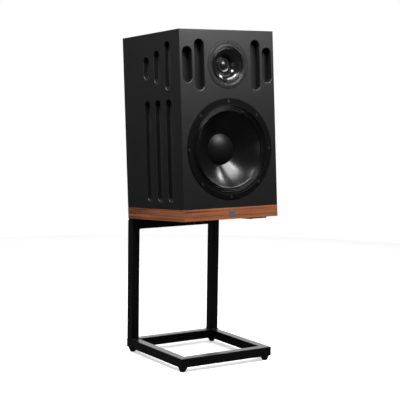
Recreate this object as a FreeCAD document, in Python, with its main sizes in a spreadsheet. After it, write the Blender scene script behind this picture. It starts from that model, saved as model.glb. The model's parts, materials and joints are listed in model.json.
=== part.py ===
import FreeCAD, Part
import math
import os
import re

import Sketcher

# A two-way-and-a-half loudspeaker: a vented black cabinet on a walnut plinth, leaning back on an open
# steel stand. Millimetres, +Z up, front towards -Y, origin at the middle of the footprint on the floor.

SIZES = {
    # cabinet
    "cab_w": 300.0, "cab_d": 296.4, "cab_h": 501.6, "lean": 4.55, "cab_lift": 404.4,
    "plinth": 31.5, "front_wall": 20.0, "side_wall": 12.0, "end_wall": 15.0, "rear_wall": 15.0,
    "badge_w": 16.5, "badge_proud": 0.5, "badge_sunk": 1.0, "cloth": 3.0,
    # slots: width, pitch and height of each row
    "slot_w": 29.0, "slot_up": 409.0,
    "front_slot_in": 89.5, "front_slot_out": 127.0, "front_slot_tall": 133.0, "front_slot_short": 93.0,
    "side_slot_first": 62.0, "side_slot_step": 55.0, "side_slot_low": 185.5, "side_slot_long": 271.0,
    "side_slot_a": 128.0, "side_slot_b": 87.0, "side_slot_c": 60.0,
    # woofer, with depths measured forwards from the face of the baffle
    "woof_up": 186.0, "woof_rim": 134.5, "woof_lip": 116.0, "woof_proud": 1.0, "woof_seat": 5.0,
    "woof_neck": 120.0, "woof_bolt_circle": 127.0, "woof_cone": 104.0, "woof_edge": -7.0, "coil": 32.0,
    "woof_cap": 42.0, "woof_cap_base": -47.0, "woof_cap_tall": 14.0, "woof_neck_base": -51.5,
    # upper unit
    "mid_up": 410.0, "mid_rim": 63.0, "mid_lip": 50.0, "mid_proud": 0.8, "mid_seat": 4.0,
    "mid_neck": 50.0, "mid_bolt_circle": 58.0, "mid_cone": 43.0, "mid_edge": -2.2, "mid_coil": 19.6,
    "tweet_dome": 12.4, "tweet_face": -20.0,
    # terminals
    "cup_up": 130.0, "cup_w": 92.0, "cup_tall": 68.0, "cup_deep": 25.0, "post_gap": 19.0,
    "post": 3.0, "banana": 2.0,
    # stand
    "tube": 25.0, "tube_wall": 2.0, "foot_tall": 12.5, "foot_top": 12.0, "foot_tip": 6.5,
    "base_w": 293.0, "base_front": 13.4, "base_rear": 304.2, "bar_top": 376.1,
    "arm_w": 60.0, "arm_thick": 4.0, "arm_out": 92.0, "arm_front": 13.5, "arm_rear": 305.0,
    "arm_bolt_front": 45.0, "arm_bolt_rear": 245.0, "seat_inset": 2.0, "seat_gap": 0.05,
}
FIT = 0.05        # radial clearance of a turning fit
GAP = 0.5         # clearance round a part let into the baffle
THROUGH = 400.0   # length of a cut that goes right through

doc = FreeCAD.newDocument("loudspeaker")
sheet = doc.addObject("Spreadsheet::Sheet", "sizes")
for row, (alias, number) in enumerate(SIZES.items(), start=1):
    sheet.set(f"A{row}", alias)
    sheet.set(f"B{row}", str(number))
    sheet.setAlias(f"B{row}", alias)
doc.recompute()

PIECES = []
# the plinth's lower front edge lies this far in front of the origin, so the footprint is centred
REACH = "(cab_d * cos(lean * 1deg) + cab_h * sin(lean * 1deg)) / 2"


def expr(text):
    """The expression with every size name pointed at the sheet."""
    return re.sub(r"[a-z_]+", lambda m: f"sizes.{m[0]}" if m[0] in SIZES else m[0], str(text))


def value(text):
    """The number that an expression of sheet sizes gives."""
    found = sheet.evalExpression(expr(text))
    return float(getattr(found, "Value", found))


def set_place(piece, x, y, z, turn):
    vector = f"create(<<vector>>; {x}; {y}; {z})"
    turned = f"create(<<rotation>>; create(<<vector>>; 1; 0; 0); {turn})"
    piece.setExpression("Placement", expr(f"create(<<placement>>; {vector}; {turned})"))


def on_cabinet(piece, x="0", y="0", z="0", turn="0"):
    """Places a piece in the leaning cabinet: x across, y back from its face, z up from its foot."""
    world_y = f"({y}) * cos(lean * 1deg) + ({z}) * sin(lean * 1deg) - {REACH}"
    world_z = f"cab_lift - ({y}) * sin(lean * 1deg) + ({z}) * cos(lean * 1deg)"
    set_place(piece, x, world_y, world_z, f"({turn}) - lean")


def on_axis(piece, up):
    """Places a driver piece: its own Z is the driver's axis, out of the cabinet's face."""
    on_cabinet(piece, z=up, turn="90")


def on_rear(piece, x="0", y="cab_d"):
    """Places a terminal piece: its own Z points out of the cabinet's back."""
    on_cabinet(piece, x=x, y=y, z="cup_up", turn="-90")


def on_floor(piece, x="0", y="0", z="0"):
    """Places a stand piece: y is measured back from the plinth's lower front edge."""
    set_place(piece, x, f"{y} - {REACH}", z, "0")


def new_body(label):
    body = doc.addObject("PartDesign::Body", label)
    body.Label = label
    PIECES.append(body)
    return body


def new_box(label, length, width, height):
    box = doc.addObject("Part::Box", label)
    for side, size in (("Length", length), ("Width", width), ("Height", height)):
        box.setExpression(side, expr(size))
    return box


def keep(piece, label):
    piece.Label = label
    PIECES.append(piece)
    return piece


def new_sketch(body, plane="XY_Plane", offset="0"):
    sketch = body.newObject("Sketcher::SketchObject", body.Name + "_sketch")
    origin_plane = next(f for f in body.Origin.OriginFeatures if f.Role == plane)
    sketch.AttachmentSupport = [(origin_plane, "")]
    sketch.MapMode = "FlatFace"
    sketch.setExpression("AttachmentOffset.Base.z", expr(offset))
    return sketch


def bind(sketch, constraint, text):
    index = sketch.addConstraint(constraint)
    sketch.setExpression(f"Constraints[{index}]", expr(text))


def pin(sketch, edge, end, x, y):
    """Holds one point of the sketch at expressions of the sheet."""
    bind(sketch, Sketcher.Constraint("DistanceX", edge, end, value(x)), x)
    bind(sketch, Sketcher.Constraint("DistanceY", edge, end, value(y)), y)


def outline(sketch, points):
    """A closed outline of straight edges through the points, each an (x, y) pair of expressions."""
    corners = [FreeCAD.Vector(value(x), value(y), 0) for x, y in points]
    first = sketch.GeometryCount
    count = len(points)
    for i in range(count):
        sketch.addGeometry(Part.LineSegment(corners[i], corners[(i + 1) % count]), False)
    for i in range(count):
        after = first + (i + 1) % count
        sketch.addConstraint(Sketcher.Constraint("Coincident", first + i, 2, after, 1))
    for i, (x, y) in enumerate(points):
        pin(sketch, first + i, 1, x, y)


def rectangle(sketch, x0, y0, x1, y1):
    outline(sketch, [(x0, y0), (x1, y0), (x1, y1), (x0, y1)])


def circle(sketch, x, y, radius):
    middle = FreeCAD.Vector(value(x), value(y), 0)
    edge = sketch.addGeometry(Part.Circle(middle, FreeCAD.Vector(0, 0, 1), value(radius)), False)
    bind(sketch, Sketcher.Constraint("Radius", edge, value(radius)), radius)
    pin(sketch, edge, 3, x, y)


def slot(sketch, x, y, width, height):
    """An upright slot with round ends about its middle."""
    radius = value(width) / 2
    reach = f"(({height}) - ({width})) / 2"
    middle = FreeCAD.Vector(value(x), value(y), 0)
    rise = FreeCAD.Vector(0, value(reach), 0)
    side = FreeCAD.Vector(radius, 0, 0)
    normal = FreeCAD.Vector(0, 0, 1)
    upper = sketch.addGeometry(Part.ArcOfCircle(Part.Circle(middle + rise, normal, radius), 0, math.pi), False)
    left = sketch.addGeometry(Part.LineSegment(middle + rise - side, middle - rise - side), False)
    around = Part.Circle(middle - rise, normal, radius)
    lower = sketch.addGeometry(Part.ArcOfCircle(around, math.pi, 2 * math.pi), False)
    right = sketch.addGeometry(Part.LineSegment(middle - rise + side, middle + rise + side), False)
    for a, b in ((upper, left), (left, lower), (lower, right), (right, upper)):
        sketch.addConstraint(Sketcher.Constraint("Tangent", a, 2, b, 1))
    bind(sketch, Sketcher.Constraint("Radius", upper, radius), f"({width}) / 2")
    pin(sketch, upper, 3, x, f"({y}) + {reach}")
    sketch.addConstraint(Sketcher.Constraint("Vertical", upper, 3, lower, 3))
    bind(sketch, Sketcher.Constraint("DistanceY", lower, 3, (middle - rise).y), f"({y}) - {reach}")


def pad(body, sketch, length, backwards=False):
    feature = body.newObject("PartDesign::Pad", body.Name + "_pad")
    feature.Profile = sketch
    feature.setExpression("Length", expr(length))
    feature.Reversed = backwards
    doc.recompute()
    return feature


def pocket(body, sketch, length, backwards=False, both_ways=False):
    """A cut into the body, which must take some of it away."""
    before = body.Shape.Volume
    feature = body.newObject("PartDesign::Pocket", body.Name + "_pocket")
    feature.Profile = sketch
    feature.setExpression("Length", expr(length))
    feature.Reversed = backwards
    feature.Midplane = both_ways
    doc.recompute()
    if body.Shape.Volume > before - 1e-3:
        raise RuntimeError(f"a pocket of {body.Label} cuts nothing")
    return feature


def revolve(body, points):
    """A ring or disc about the body's own Z, from an outline of (radius, height) pairs."""
    sketch = new_sketch(body, "XZ_Plane")
    outline(sketch, points)
    feature = body.newObject("PartDesign::Revolution", body.Name + "_turned")
    feature.Profile = sketch
    feature.ReferenceAxis = (sketch, ["V_Axis"])
    feature.Angle = 360
    doc.recompute()
    return feature


def round_pattern(body, feature, count, turn_axis):
    pattern = body.newObject("PartDesign::PolarPattern", body.Name + "_round")
    pattern.Originals = [feature]
    pattern.Axis = (turn_axis, ["N_Axis"])
    pattern.Angle = 360
    pattern.Occurrences = count
    body.Tip = pattern
    doc.recompute()
    return pattern


def holes_round(body, circle_radius, hole_radius, count, top, depth):
    """A ring of equal holes sunk from the height top, the first one straight up."""
    sketch = new_sketch(body, "XY_Plane", top)
    circle(sketch, "0", circle_radius, hole_radius)
    round_pattern(body, pocket(body, sketch, depth), count, sketch)


def pleats(inner, outer, top, thick, rise, rolls):
    """The outline of a pleated ring: flat feet at both edges and rolls between them."""
    steps = 2 * rolls
    upper = [(inner, top)]
    for i in range(1, steps):
        share = i / steps
        height = f"({top}) + {rise if i % 2 else -rise}"
        upper.append((f"({inner}) * {1 - share} + ({outer}) * {share}", height))
    upper.append((outer, top))
    return upper + [(x, f"({y}) - {thick}") for x, y in reversed(upper)]


# ---------------------------------------------------------------- cabinet

def front_slots(sketch):
    for sign in (-1, 1):
        slot(sketch, f"{sign} * front_slot_in", "slot_up", "slot_w", "front_slot_tall")
        slot(sketch, f"{sign} * front_slot_out", "slot_up", "slot_w", "front_slot_short")


def make_front_baffle():
    body = new_body("front_baffle")
    sketch = new_sketch(body, "XZ_Plane")
    rectangle(sketch, "-cab_w / 2", "plinth", "cab_w / 2", "cab_h")
    pad(body, sketch, "front_wall", backwards=True)
    sketch = new_sketch(body, "XZ_Plane")
    front_slots(sketch)
    pocket(body, sketch, THROUGH, both_ways=True)
    for up, neck, rim, seat in (
        ("woof_up", "woof_neck + 1", f"woof_rim + {GAP}", "woof_seat"),
        ("mid_up", "mid_neck + 2", f"mid_rim + {GAP}", "mid_seat"),
    ):
        sketch = new_sketch(body, "XZ_Plane")
        circle(sketch, "0", up, neck)
        pocket(body, sketch, THROUGH, both_ways=True)
        sketch = new_sketch(body, "XZ_Plane")
        circle(sketch, "0", up, rim)
        pocket(body, sketch, f"2 * {seat}", both_ways=True)
    for up, ring, hole, count in (
        ("woof_up", "woof_bolt_circle", 2.5, 8),
        ("mid_up", "mid_bolt_circle", 1.75, 6),
    ):
        sketch = new_sketch(body, "XZ_Plane")
        for i in range(count):
            turn = 360 * i / count
            circle(sketch, f"{ring} * sin({turn} deg)", f"{up} + {ring} * cos({turn} deg)", hole)
        pocket(body, sketch, THROUGH, both_ways=True)
    on_cabinet(body)


def make_side_panel(name, sign):
    """One side, with three slots above and three long ones below."""
    body = new_body(f"side_panel_{name}")
    sketch = new_sketch(body, "YZ_Plane")
    rectangle(sketch, "front_wall", "plinth", "cab_d - rear_wall", "cab_h")
    pad(body, sketch, "side_wall", backwards=sign > 0)
    sketch = new_sketch(body, "YZ_Plane")
    for i, tall in enumerate(("side_slot_a", "side_slot_b", "side_slot_c")):
        back = f"side_slot_first + {i} * side_slot_step"
        slot(sketch, back, "slot_up", "slot_w", tall)
        slot(sketch, back, "side_slot_low", "slot_w", "side_slot_long")
    pocket(body, sketch, THROUGH, both_ways=True)
    on_cabinet(body, x=f"{sign} * cab_w / 2")


def make_rear_panel():
    body = new_body("rear_panel")
    sketch = new_sketch(body, "XZ_Plane")
    rectangle(sketch, "-cab_w / 2", "plinth", "cab_w / 2", "cab_h")
    pad(body, sketch, "rear_wall", backwards=True)
    sketch = new_sketch(body, "XZ_Plane")
    rectangle(sketch, "-cup_w / 2", "cup_up - cup_tall / 2", "cup_w / 2", "cup_up + cup_tall / 2")
    pocket(body, sketch, THROUGH, both_ways=True)
    # pilot holes for the terminal cup's screws
    sketch = new_sketch(body, "XZ_Plane")
    for x in ("-cup_w / 2 - 3", "cup_w / 2 + 3"):
        for z in ("cup_up - cup_tall / 2 - 3", "cup_up + cup_tall / 2 + 3"):
            circle(sketch, x, z, "1.6")
    pocket(body, sketch, THROUGH, both_ways=True)
    on_cabinet(body, y="cab_d - rear_wall")


def make_flat_panels():
    """The top, the bottom, the shelf that braces the sides, and the acoustic cloth behind the slots."""
    inside_w = "cab_w - 2 * side_wall"
    inside_d = "cab_d - front_wall - rear_wall"
    for label, up in (("top_panel", "cab_h - end_wall"), ("bottom_panel", "plinth")):
        panel = keep(new_box(label, inside_w, inside_d, "end_wall"), label)
        on_cabinet(panel, "side_wall - cab_w / 2", "front_wall", up)
    shelf = keep(new_box("shelf_brace", f"{inside_w} - 2 * cloth", "60", "10"), "shelf_brace")
    on_cabinet(shelf, "side_wall + cloth - cab_w / 2", "cab_d - rear_wall - 60", "332")
    low = "plinth + end_wall"
    for name, sign in (("left", -1), ("right", 1)):
        tall = "cab_h - plinth - 2 * end_wall"
        cloth = keep(new_box(f"side_cloth_{name}", "cloth", "176", tall), f"side_cloth_{name}")
        on_cabinet(cloth, f"{sign} * (cab_w / 2 - side_wall - cloth / 2) - cloth / 2", "front_wall + 4", low)
    cloth = new_body("front_cloth")
    sketch = new_sketch(cloth, "XZ_Plane")
    for sign in (-1, 1):
        rectangle(sketch, f"{sign} * 72", "slot_up - 71", f"{sign} * 134", "slot_up + 71")
    pad(cloth, sketch, "cloth", backwards=True)
    on_cabinet(cloth, y="front_wall")


def make_plinth():
    """The walnut plinth, with blind holes for the bolts that hold the arms."""
    body = new_body("walnut_plinth")
    sketch = new_sketch(body)
    rectangle(sketch, "-cab_w / 2", "0", "cab_w / 2", "cab_d")
    pad(body, sketch, "plinth")
    sketch = new_sketch(body)
    for x in ("-arm_out", "arm_out"):
        for y in ("arm_bolt_front", "arm_bolt_rear"):
            circle(sketch, x, y, "3")
    pocket(body, sketch, "22", backwards=True)
    sketch = new_sketch(body, "XZ_Plane")
    rectangle(sketch, "-badge_w / 2", "(plinth - badge_w) / 2", "badge_w / 2", "(plinth + badge_w) / 2")
    pocket(body, sketch, "2 * badge_sunk", both_ways=True)
    on_cabinet(body)


def make_badge():
    """A plain square plate with a small dished centre, let into the plinth's face."""
    body = new_body("badge")
    sketch = new_sketch(body)
    rectangle(sketch, "-badge_w / 2", "-badge_w / 2", "badge_w / 2", "badge_w / 2")
    pad(body, sketch, "badge_sunk", backwards=True)
    pad(body, sketch, "badge_proud")
    sketch = new_sketch(body, "XY_Plane", "badge_proud")
    circle(sketch, "0", "0", "2.6")
    pocket(body, sketch, "0.6")
    on_axis(body, "plinth / 2")


# ---------------------------------------------------------------- woofer

def make_woofer_basket():
    body = new_body("woofer_basket")
    foot = "1 - woof_seat"
    revolve(body, [
        ("woof_rim", foot), ("woof_rim", "woof_proud - 0.8"), ("woof_rim - 0.8", "woof_proud"),
        ("woof_lip + 1", "woof_proud"), ("woof_lip", "0"), ("woof_lip", "-3.5"), ("113.4", "-3.5"),
        ("113.4", "-20"), ("84", "-66"), ("84", "-74"), ("76", "-74"), ("76", "-86"), ("60", "-86"),
        ("60", "-92"), ("90", "-92"), ("90", "-74"), ("woof_neck", "-22"), ("woof_neck", foot),
    ])
    sketch = new_sketch(body, "XY_Plane", "-24")
    outline(sketch, [("-24", "88"), ("24", "88"), ("32", "106"), ("-32", "106")])
    round_pattern(body, pocket(body, sketch, "44"), 6, sketch)
    holes_round(body, "woof_bolt_circle", "6", 8, "woof_proud", "3")
    holes_round(body, "woof_bolt_circle", "2.6", 8, "woof_proud", "12")
    on_axis(body, "woof_up")


def make_ring_bolts(label, up, count, ring, head, shank, head_top, head_tall, length, socket):
    """A ring of socket-head bolts as separate solids, the first one straight up."""
    body = new_body(label)
    sketch = new_sketch(body, "XY_Plane", f"{head_top} - {head_tall}")
    circle(sketch, "0", ring, head)
    heads = pad(body, sketch, head_tall)
    round_pattern(body, heads, count, sketch)
    sketch = new_sketch(body, "XY_Plane", f"{head_top} - {head_tall}")
    circle(sketch, "0", ring, shank)
    round_pattern(body, pad(body, sketch, length, backwards=True), count, sketch)
    sketch = new_sketch(body, "XY_Plane", head_top)
    corners = [math.radians(60 * i) for i in range(6)]
    outline(sketch, [(f"{socket * math.cos(a):.4f}", f"{ring} + {socket * math.sin(a):.4f}") for a in corners])
    round_pattern(body, pocket(body, sketch, f"{head_tall} * 0.6"), count, sketch)
    on_axis(body, up)


def make_woofer():
    gasket = new_body("woofer_gasket")
    revolve(gasket, [
        ("woof_neck + 2", "-woof_seat"), ("woof_rim - 1", "-woof_seat"),
        ("woof_rim - 1", "1 - woof_seat"), ("woof_neck + 2", "1 - woof_seat"),
    ])
    holes_round(gasket, "woof_bolt_circle", "2.8", 8, "1 - woof_seat", "3")
    on_axis(gasket, "woof_up")
    make_woofer_basket()

    surround = new_body("woofer_surround")
    revolve(surround, pleats("woof_cone - 2", "woof_lip - 0.3", "-2.4", 1.0, 1.6, 4))
    on_axis(surround, "woof_up")

    thick = 1.6
    front = [
        ("woof_cone", "woof_edge + 3"), ("woof_cone - 3", "woof_edge + 3"), ("88", "-15"), ("66", "-31"),
        ("woof_cap", "woof_cap_base"), ("coil + 0.6", "woof_neck_base"),
    ]
    cone = new_body("woofer_cone")
    back = [(x, f"({y}) - {thick}") for x, y in reversed(front)]
    revolve(cone, front + back)
    on_axis(cone, "woof_up")

    dome = [(math.sin(math.radians(a)), math.cos(math.radians(a))) for a in range(90, -1, -15)]
    base = "woof_cap_base + 0.4"
    upper = [(f"woof_cap * {s:.5f}", f"{base} + 1 + woof_cap_tall * {c:.5f}") for s, c in dome]
    under = [(f"(woof_cap - 1.2) * {s:.5f}", f"{base} + woof_cap_tall * {c:.5f}") for s, c in dome]
    cap = new_body("woofer_dust_cap")
    revolve(cap, upper + list(reversed(under)))
    on_axis(cap, "woof_up")

    coil = new_body("woofer_voice_coil")
    revolve(coil, [
        ("coil", "woof_neck_base"), ("coil + 0.6", "woof_neck_base"), ("coil + 0.6", "-90"),
        ("coil + 1.4", "-90"), ("coil + 1.4", "-102"), ("coil", "-102"),
    ])
    on_axis(coil, "woof_up")

    spider = new_body("woofer_spider")
    revolve(spider, pleats("coil + 1", "83.6", "-72", 1.0, 0.9, 7))
    on_axis(spider, "woof_up")

    plate = new_body("woofer_front_plate")
    revolve(plate, [("coil + 2", "-92"), ("80", "-92"), ("80", "-100"), ("coil + 2", "-100")])
    on_axis(plate, "woof_up")
    magnet = new_body("woofer_magnet")
    revolve(magnet, [("42", "-100"), ("84", "-100"), ("85", "-101"), ("85", "-120"), ("42", "-120")])
    on_axis(magnet, "woof_up")
    yoke = new_body("woofer_yoke")
    revolve(yoke, [
        ("0", "-128"), ("79", "-128"), ("80", "-127"), ("80", "-120"), ("coil - 0.6", "-120"),
        ("coil - 0.6", "-92"), ("0", "-92"),
    ])
    on_axis(yoke, "woof_up")
    make_ring_bolts("woofer_bolts", "woof_up", 8, "woof_bolt_circle", 4.2, 2.5,
                    "woof_proud - 0.2", 2.8, 17, 2.0)


# ---------------------------------------------------------------- upper unit

def make_midrange():
    flange = new_body("mid_flange")
    revolve(flange, [
        ("mid_rim", "-mid_seat"), ("mid_rim", "mid_proud - 0.6"), ("mid_rim - 0.6", "mid_proud"),
        ("mid_lip + 1", "mid_proud"), ("mid_lip", "-0.4"), ("mid_lip - 1", "-3"), ("46.5", "-3"),
        ("46.5", "-12"), ("34", "-34"), ("34", "-38"), ("26", "-38"), ("26", "-42"), ("40", "-42"),
        ("40", "-36"), ("mid_neck", "-14"), ("mid_neck", "-mid_seat"),
    ])
    holes_round(flange, "mid_bolt_circle", "3.4", 6, "mid_proud", "1.8")
    holes_round(flange, "mid_bolt_circle", "1.9", 6, "mid_proud", "8")
    on_axis(flange, "mid_up")

    surround = new_body("mid_surround")
    revolve(surround, pleats("mid_cone - 0.8", "mid_lip - 1.2", "-2", 0.8, 0.8, 2))
    on_axis(surround, "mid_up")

    front = [
        ("mid_cone", "mid_edge - 0.9"), ("mid_cone - 1", "mid_edge - 0.9"), ("36", "-6.5"),
        ("29", "-11.5"), ("23", "-16.5"), ("mid_coil + 0.4", "-21"),
    ]
    cone = new_body("mid_cone")
    revolve(cone, front + [(x, f"({y}) - 1") for x, y in reversed(front)])
    on_axis(cone, "mid_up")

    coil = new_body("mid_voice_coil")
    revolve(coil, [
        ("mid_coil", "-21"), ("mid_coil + 0.4", "-21"), ("mid_coil + 0.4", "-46"), ("mid_coil", "-46"),
    ])
    on_axis(coil, "mid_up")
    magnet = new_body("mid_magnet")
    revolve(magnet, [
        ("mid_coil + 1", "-42"), ("38", "-42"), ("38", "-48"), ("40", "-48"), ("40", "-60"),
        ("25", "-60"), ("25", "-48"), ("mid_coil + 1", "-48"),
    ])
    on_axis(magnet, "mid_up")
    yoke = new_body("mid_yoke")
    revolve(yoke, [
        ("8", "-66"), ("38", "-66"), ("38", "-60"), ("mid_coil - 0.7", "-60"),
        ("mid_coil - 0.7", "-42"), ("8", "-42"),
    ])
    on_axis(yoke, "mid_up")
    chamber = new_body("mid_chamber")
    revolve(chamber, [
        ("54", "-front_wall"), ("57", "-front_wall"), ("57", "-104"), ("0", "-104"), ("0", "-101"),
        ("54", "-101"),
    ])
    on_axis(chamber, "mid_up")
    make_ring_bolts("mid_screws", "mid_up", 6, "mid_bolt_circle", 3.0, 1.75,
                    "mid_proud", 1.8, 15, 1.4)


def make_tweeter():
    cup = new_body("tweeter_motor")
    revolve(cup, [
        ("0", "-42"), ("mid_coil - 0.9", "-42"), ("mid_coil - 0.9", "tweet_face - 4"),
        ("0", "tweet_face - 4"),
    ])
    on_axis(cup, "mid_up")
    face = new_body("tweeter_faceplate")
    revolve(face, [
        ("tweet_dome + 0.5", "tweet_face - 4"), ("mid_coil - 0.9", "tweet_face - 4"),
        ("mid_coil - 0.9", "tweet_face - 0.8"), ("mid_coil - 1.7", "tweet_face"),
        ("tweet_dome + 2", "tweet_face"), ("tweet_dome + 0.5", "tweet_face - 1.5"),
    ])
    on_axis(face, "mid_up")
    dome = [(math.sin(math.radians(a)), math.cos(math.radians(a))) for a in range(90, -1, -15)]
    upper = [(f"tweet_dome * {s:.5f}", f"tweet_face - 1.6 + 5 * {c:.5f}") for s, c in dome]
    under = [(f"(tweet_dome - 0.6) * {s:.5f}", f"tweet_face - 2.1 + 5 * {c:.5f}") for s, c in dome]
    body = new_body("tweeter_dome")
    revolve(body, upper + list(reversed(under)))
    on_axis(body, "mid_up")


# ---------------------------------------------------------------- crossover and terminals

def make_crossover():
    """A board on the bottom panel behind the woofer, with two inductors and three capacitors."""
    floor_up = "plinth + end_wall"
    board = keep(new_box("crossover_board", "150", "90", "5"), "crossover_board")
    on_cabinet(board, "-75", "150", floor_up)
    coils = new_body("crossover_inductors")
    sketch = new_sketch(coils)
    for x in ("-45", "45"):
        circle(sketch, x, "175", "20")
        circle(sketch, x, "175", "9")
    pad(coils, sketch, "18")
    on_cabinet(coils, z=f"{floor_up} + 5")
    cans = new_body("crossover_capacitors")
    sketch = new_sketch(cans)
    for x in ("-40", "0", "40"):
        circle(sketch, x, "220", "9")
    pad(cans, sketch, "34")
    on_cabinet(cans, z=f"{floor_up} + 5")


def make_terminal_cup():
    """The dished plate let into the back, drawn with its own Z out of the cabinet."""
    body = new_body("terminal_cup")
    half_w, half_tall = "(cup_w / 2 + 7)", "(cup_tall / 2 + 7)"
    sketch = new_sketch(body)
    rectangle(sketch, f"-{half_w}", f"-{half_tall}", half_w, half_tall)
    pad(body, sketch, "2.5")
    sketch = new_sketch(body)
    inner_w, inner_tall = f"(cup_w / 2 - {GAP})", f"(cup_tall / 2 - {GAP})"
    rectangle(sketch, f"-{inner_w}", f"-{inner_tall}", inner_w, inner_tall)
    pad(body, sketch, "cup_deep + 3", backwards=True)
    sketch = new_sketch(body, "XY_Plane", "2.5")
    rectangle(sketch, f"3 - {inner_w}", f"3 - {inner_tall}", f"{inner_w} - 3", f"{inner_tall} - 3")
    pocket(body, sketch, "cup_deep + 2.5")
    sketch = new_sketch(body)
    for x in ("-post_gap", "post_gap"):
        circle(sketch, x, "0", "post")
    pocket(body, sketch, THROUGH, both_ways=True)
    sketch = new_sketch(body)
    for x in (f"-{half_w} + 4", f"{half_w} - 4"):
        for y in (f"-{half_tall} + 4", f"{half_tall} - 4"):
            circle(sketch, x, y, "1.6")
    pocket(body, sketch, THROUGH, both_ways=True)
    on_rear(body)

    screws = new_body("terminal_screws")
    for radius, length, start in (("3", "1.4", "2.5"), ("1.6", "14.5", "-12")):
        sketch = new_sketch(screws, "XY_Plane", start)
        for x in (f"-{half_w} + 4", f"{half_w} - 4"):
            for y in (f"-{half_tall} + 4", f"{half_tall} - 4"):
                circle(sketch, x, y, radius)
        pad(screws, sketch, length)
    on_rear(screws)


def make_post(colour, sign):
    """A binding post: a stud with a plug bore, a captive washer, and a fluted cap on the thread."""
    x = f"{sign} * post_gap"
    floor_y = "cab_d - cup_deep"
    stud = new_body(f"post_{colour}")
    revolve(stud, [
        ("0", "-8"), ("post", "-8"), ("post", "0"), ("6.8", "0"), ("6.8", "3"), ("post", "3"),
        ("post", "20"), ("post - 0.4", "20.4"), ("banana", "20.4"), ("banana", "4.4"), ("0", "4.4"),
    ])
    on_rear(stud, x, floor_y)
    washer = new_body(f"washer_{colour}")
    bore = f"post + {FIT}"
    revolve(washer, [(bore, "3.2"), ("5.6", "3.2"), ("5.6", "4.2"), (bore, "4.2")])
    on_rear(washer, x, floor_y)
    cap = new_body(f"cap_{colour}")
    revolve(cap, [
        (bore, "4.5"), ("6", "4.5"), ("6.5", "5"), ("6.5", "16.5"), ("5.5", "18.5"), (bore, "18.5"),
    ])
    sketch = new_sketch(cap, "XY_Plane", "18.5")
    circle(sketch, "0", "7.1", "1.1")
    round_pattern(cap, pocket(cap, sketch, "12"), 12, sketch)
    on_rear(cap, x, floor_y)


# ---------------------------------------------------------------- stand

def make_base_tube(name, along_x, sign):
    """One mitred square tube of the base frame; its own origin is at the middle of the frame."""
    body = new_body(f"base_tube_{name}")
    half_w, half_d = "(base_w / 2)", "((base_rear - base_front) / 2)"
    far, end = (half_d, half_w) if along_x else (half_w, half_d)
    shape = [(f"-{end}", far), (end, far), (f"{end} - tube", f"{far} - tube"), (f"tube - {end}", f"{far} - tube")]
    if along_x:
        points = [(u, f"{sign} * ({v})") for u, v in shape]
    else:
        points = [(f"{sign} * ({v})", u) for u, v in shape]
    sketch = new_sketch(body)
    outline(sketch, points)
    pad(body, sketch, "tube")
    sketch = new_sketch(body, "YZ_Plane" if along_x else "XZ_Plane")
    outer, inner = f"{sign} * ({far} - tube_wall)", f"{sign} * ({far} - tube + tube_wall)"
    rectangle(sketch, outer, "tube_wall", inner, "tube - tube_wall")
    pocket(body, sketch, THROUGH, both_ways=True)
    on_floor(body, y="(base_front + base_rear) / 2", z="foot_tall")


def make_upright(name, sign):
    """A square tube closed at its top."""
    body = new_body(f"upright_{name}")
    tall = "bar_top - foot_tall - tube"
    sketch = new_sketch(body)
    rectangle(sketch, "-tube / 2", "-tube / 2", "tube / 2", "tube / 2")
    pad(body, sketch, tall)
    sketch = new_sketch(body)
    half = "(tube / 2 - tube_wall)"
    rectangle(sketch, f"-{half}", f"-{half}", half, half)
    pocket(body, sketch, f"{tall} - tube_wall", backwards=True)
    on_floor(body, f"{sign} * (base_w - tube) / 2", "base_rear - tube / 2", "foot_tall + tube")


def make_crossbar():
    body = new_body("crossbar")
    sketch = new_sketch(body)
    rectangle(sketch, "tube - base_w / 2", "-tube / 2", "base_w / 2 - tube", "tube / 2")
    pad(body, sketch, "tube")
    sketch = new_sketch(body, "YZ_Plane")
    half = "(tube / 2 - tube_wall)"
    rectangle(sketch, f"-{half}", "tube_wall", half, "tube - tube_wall")
    pocket(body, sketch, THROUGH, both_ways=True)
    on_floor(body, y="base_rear - tube / 2", z="bar_top - tube")


def make_arm(name, sign):
    """A flat bar under the plinth, lying along its slope."""
    body = new_body(f"arm_{name}")
    sketch = new_sketch(body)
    rectangle(sketch, "-arm_w / 2", "arm_front", "arm_w / 2", "arm_rear")
    pad(body, sketch, "arm_thick", backwards=True)
    sketch = new_sketch(body)
    for y in ("arm_bolt_front", "arm_bolt_rear"):
        circle(sketch, "0", y, "3.2")
    pocket(body, sketch, THROUGH, both_ways=True)
    on_cabinet(body, x=f"{sign} * arm_out")


def make_arm_seats():
    """A packing strip between the crossbar and the sloping plinth, cut away where the arms lie."""
    body = new_body("arm_seats")

    def gap(y, under="0"):
        """The height from the crossbar up to the plinth, or to the face of what hangs under it."""
        return f"cab_lift - bar_top - ({y}) * tan(lean * 1deg) - ({under}) / cos(lean * 1deg)"

    front, rear = "base_rear - tube + seat_inset", "base_rear - seat_inset"
    sketch = new_sketch(body, "YZ_Plane")
    outline(sketch, [(front, "0"), (rear, "0"), (rear, gap(rear)), (front, gap(front))])
    pad(body, sketch, "base_w - 2 * seat_inset").Midplane = True
    ahead, behind = "base_rear - tube - 5", "base_rear + 5"
    for sign in (-1, 1):
        sketch = new_sketch(body, "YZ_Plane", f"{sign} * arm_out")
        outline(sketch, [(ahead, gap(ahead, "arm_thick")), (behind, gap(behind, "arm_thick")),
                         (behind, "tube"), (ahead, "tube")])
        pocket(body, sketch, "arm_w + 2 * seat_gap", both_ways=True)
    on_floor(body, z="bar_top")


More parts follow.
